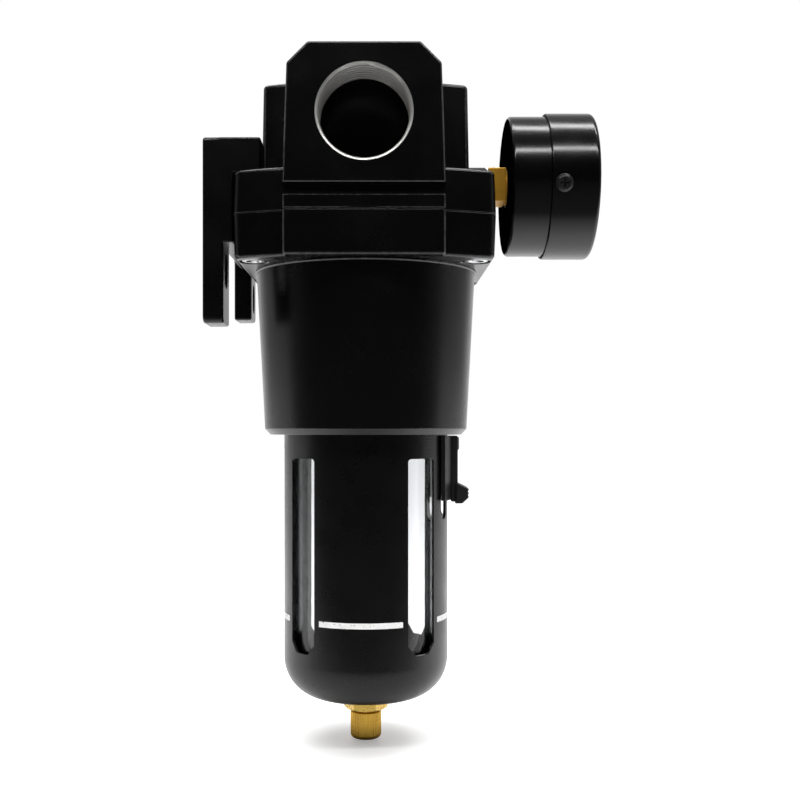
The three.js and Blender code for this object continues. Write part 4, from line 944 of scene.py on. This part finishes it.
def gauge_ring():
    inner, lip, back = CASE_RADIUS + 0.15, 22.8, RING_END - 1.1
    shell = lathe("gauge_ring", [
        (inner, RING_START, 0.2), (RING_RADIUS, RING_START, 0.45), (RING_RADIUS, RING_END, 3),
        (lip, RING_END, 0.5), (lip, back, 0.3), (inner, back, 0.2),
    ], 2 * LARGE, GAUGE, round_by=0.3, steps=8)
    cut(shell, *screw_bores())
    finish(shell, GAUGE_ENAMEL, ["gauge_bezel"])


def case_screws():
    for i, angle in enumerate(SCREW_ANGLES, 1):
        place = radial(angle)
        screw = lathe(f"case_cross_screw_{i}", [
            (0, 22.5, 0), (1.35, 22.5, 0.2), (1.35, 26.5, 0), (3.15, 26.5, 0.1), (3.15, 27.2, 0.3),
            (2.2, 28.1, 0.9), (0, 28.1, 0),
        ], MEDIUM, place, round_by=0.2, steps=5)
        for name, half_a, half_b in (("across", 1.7, 0.32), ("along", 0.32, 1.7)):
            mouth = rectangle(-half_a, -half_b, half_a, half_b)
            floor = [(a * 0.55 if abs(a) > 1 else a, b * 0.55 if abs(b) > 1 else b) for a, b in mouth]
            cut(screw, skin(name, [[(a, b, height) for a, b in outline]
                                   for outline, height in ((floor, 26.9), (mouth, 28.3))], place))
        finish(screw, BLACKENED_STEEL, [f"case_screw_{i}"])


def gauge_window():
    profile = [(0, 26.9), (24.6, 26.9), (24.9, 27.2), (24.9, 28.9), (24.6, 29.2), (0, 29.2)]
    pane = lathe("gauge_pane", profile, LARGE, GAUGE)
    finish(pane, WINDOW, ["gauge_window"])


def scale_angle(value):
    return ZERO_ANGLE - SWEEP * value / SCALE_END


def dial():
    disc = lathe("dial_plate", [
        (1.5, DIAL_LOW), (DIAL_RADIUS, DIAL_LOW), (DIAL_RADIUS, DIAL_HIGH - 0.1),
        (DIAL_RADIUS - 0.1, DIAL_HIGH), (1.5, DIAL_HIGH),
    ], LARGE, GAUGE)
    places = [GAUGE @ Matrix.Translation((sign * DIAL_SCREW_X, DIAL_SCREW_Y, 0)) for sign in (-1, 1)]
    holes = [round_hole(1.2, DIAL_LOW - 1, DIAL_HIGH, place, SMALL) for place in places]
    finish(cut(disc, *holes), DIAL_ENAMEL, ["gauge_dial"])
    profile = [(0, 18.3, 0), (0.9, 18.3, 0.1), (0.9, 21.4, 0), (1.6, 21.4, 0.1), (1.6, 22.2, 0.25),
               (0, 22.2, 0)]
    for i, place in enumerate(places, 1):
        screw = lathe(f"dial_fixing_{i}", profile, SMALL, place, round_by=0.1)
        cut(screw, plain_prism("slot", rectangle(-3, -0.2, 3, 0.2), 21.9, 23, place))
        finish(screw, GAUGE_BRASS, [f"dial_screw_{i}"])


PRINT_HEIGHTS = (DIAL_HIGH + 0.01, DIAL_HIGH + 0.05)


def dial_marks():
    """Graduations and numbers, as thin raised print on the dial."""
    for step in range(5 * SCALE_END + 1):
        value = step / 5
        whole = step % 5 == 0
        outer, inner, half = 21.6, (18.4 if whole else 20), (0.26 if whole else 0.12)
        place = GAUGE @ Matrix.Rotation(math.radians(scale_angle(value)), 4, "Z")
        outline = rectangle(inner, -half, outer, half)
        mark = plain_prism(f"graduation_{step}", outline, *PRINT_HEIGHTS, place)
        finish(mark, BLACK_PRINT)
    for value in range(0, SCALE_END + 1, 2):
        text = bpy.data.curves.new(f"number_{value}", "FONT")
        text.body = str(value)
        text.size = 4.6
        text.align_x = "CENTER"
        text.align_y = "CENTER"
        text.extrude = 0.02
        source = placed(f"number_{value}", text)
        mesh = evaluated(source)
        bpy.data.objects.remove(source)
        centre = polar(15, math.radians(scale_angle(value)))
        spot = Matrix.Translation((*centre, DIAL_HIGH + 0.03))
        mesh.transform(Matrix.Scale(MM, 4) @ GAUGE @ spot)
        work = bmesh.new()
        work.from_mesh(mesh)
        bmesh.ops.remove_doubles(work, verts=work.verts, dist=WELD)
        work.to_mesh(mesh)
        work.free()
        finish(placed(f"dial_number_{value}", mesh), BLACK_PRINT)


def pointer():
    place = GAUGE @ Matrix.Rotation(math.radians(ZERO_ANGLE), 4, "Z")
    outline = [(-6, -1.1), (-2, -0.7), (2, -0.9), (19, -0.25), (19, 0.25), (2, 0.9), (-2, 0.7), (-6, 1.1)]
    blade = slab("pointer_needle", outline, 22.5, 23.6, 0.12, place, steps=2)
    hub_profile = [(0, 22.5), (2.5, 22.5), (2.5, 23.5), (2.2, 23.8), (0, 23.8)]
    hub = lathe("pointer_hub", hub_profile, MEDIUM, GAUGE)
    cut(union(blade, hub), round_hole(1, 21, 23.4, GAUGE, SMALL))
    finish(blade, BLACK_PLASTIC, ["gauge_pointer"], body="pointer")


def movement():
    """The gauge's inner works keep their CAD shapes and get their materials here."""
    for node in ("pinion_shaft", "sector_gear", "bourdon_tube", "movement_frame", "gauge_link"):
        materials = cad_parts[node].data.materials
        materials.clear()
        materials.append(STAINLESS if node == "gauge_link" else GAUGE_BRASS)


# ---- build
head_casting()
port_thread("inlet_thread", -1)
port_thread("outlet_thread", 1)
housing_casting()
corner_screws()
wall_bracket()
guard()
level_bands()
clear_bowl()
lock()
lock_spring()
drain_body()
drain_nut()
drain_knob()
deflector()
filter_set()
seal("housing_seal", 37.5, 1.15, -33.45, "housing_oring", "head_unit")
seal("bowl_seal", 29.98, 1.05, -92.6, "bowl_oring", "bowl_unit")
seal("drain_stem_seal", 2.37, 0.35, -203, "drain_stem_oring", "drain_stem")
gauge_stem()
gauge_case()
gauge_ring()
case_screws()
gauge_window()
dial()
dial_marks()
pointer()
movement()


# ---- stage, light and camera
FLOOR_HALF, FLOOR_THICKNESS = 6000, 5
KNOB_TO_FLOOR = 0.6
CARD_EDGE = (-0.15, -0.02)  # the Y range in metres over which the floor's dark front turns pale
CARD_GREY = (0.05, 0.05, 0.05)
FLOOR_GLOW = 0.35
# Brightness of the surroundings, from straight in front (0) past the sides (0.5) to straight behind (1).
SURROUNDINGS = ((0, 0.01), (0.25, 0.012), (0.41, 0.12), (0.54, 0.28), (0.83, 0.34), (0.97, 1.1))
CAMERA_PLACE = (5.5, -406, -104.5)  # solved from the photograph's perspective
CAMERA_LENS, CAMERA_SHIFT = 49.5, (0.024, 0.036)


def floor_material():
    """Pale for the camera and in soft light, and darker in front of the object in its reflections."""
    material = surface("pale_floor", (0.93, 0.93, 0.93), 0.6, vary=0.01, rough_vary=0.05, patch=3)
    tree = material.node_tree
    shader = tree.nodes["Principled BSDF"]
    pale = shader.inputs["Base Color"].links[0].from_socket
    split = add(tree, "SeparateXYZ", Vector=add(tree, "NewGeometry").outputs["Position"])
    ray = add(tree, "LightPath")
    reflected = mixed(tree, mapped(tree, split.outputs["Y"], *CARD_EDGE), CARD_GREY, pale)
    plug(tree, mixed(tree, ray.outputs["Is Glossy Ray"], pale, reflected), shader.inputs["Base Color"])
    plug(tree, (1, 1, 1, 1), shader.inputs["Emission Color"])
    plug(tree, product(tree, ray.outputs["Is Camera Ray"], FLOOR_GLOW), shader.inputs["Emission Strength"])
    return material


def stage():
    height = millimetres("drain_knob")[0][2] - KNOB_TO_FLOOR
    floor = plain_prism("floor", rectangle(-FLOOR_HALF, -FLOOR_HALF, FLOOR_HALF, FLOOR_HALF),
                        height - FLOOR_THICKNESS, height)
    floor.data.transform(Matrix.Translation(DATUM))
    floor.data.materials.append(floor_material())


def lamp(name, kind, place, target, power):
    data = bpy.data.lights.new(name, kind)
    data.energy = power
    holder = placed(name, data)
    holder.location = DATUM + Vector(place)
    holder.rotation_euler = (Vector(target) - Vector(place)).to_track_quat("-Z", "Y").to_euler()
    return holder


def area_light(name, place, target, size, power):
    data = lamp(name, "AREA", place, target, power).data
    data.shape = "RECTANGLE"
    data.size, data.size_y = size


def light():
    """White surroundings at the sides and behind, dark ones in front, and soft light from above."""
    middle = (0, 0, -0.1)
    area_light("front_strip", (0.05, -0.545, 0.61), middle, (1.2, 0.07), 5)
    area_light("rear_strip", (0.05, 0.15, 0.85), middle, (1.2, 0.12), 6)
    overhead = lamp("overhead", "SUN", (0, 0.1, 1), (0, 0, 0), 2.4)
    overhead.data.angle = math.radians(70)
    overhead.visible_glossy = False
    world = bpy.data.worlds.new("studio")
    bpy.context.scene.world = world
    world.use_nodes = True
    tree = world.node_tree
    background = tree.nodes["Background"]
    split = add(tree, "SeparateXYZ", Vector=add(tree, "TexCoord").outputs["Generated"])
    ramp = add(tree, "ValToRGB", Fac=mapped(tree, split.outputs["Y"], -1, 1))
    stops = ramp.color_ramp.elements
    while len(stops) < len(SURROUNDINGS):
        stops.new(1)
    for stop, (place, brightness) in zip(stops, SURROUNDINGS):
        stop.position = place
        stop.color = (brightness, brightness, brightness, 1)
    camera_ray = add(tree, "LightPath").outputs["Is Camera Ray"]
    plug(tree, mixed(tree, camera_ray, ramp.outputs["Color"], (1, 1, 1)), background.inputs["Color"])


def camera():
    data = bpy.data.cameras.new("camera")
    data.sensor_width = 36
    data.lens = CAMERA_LENS
    data.shift_x, data.shift_y = CAMERA_SHIFT
    data.clip_start = 0.01
    view = placed("camera", data)
    view.location = DATUM + Vector(CAMERA_PLACE) * MM
    view.rotation_euler = (math.pi / 2, 0, 0)
    bpy.context.scene.camera = view


stage()
light()
camera()
bpy.context.scene.view_settings.view_transform = "Standard"
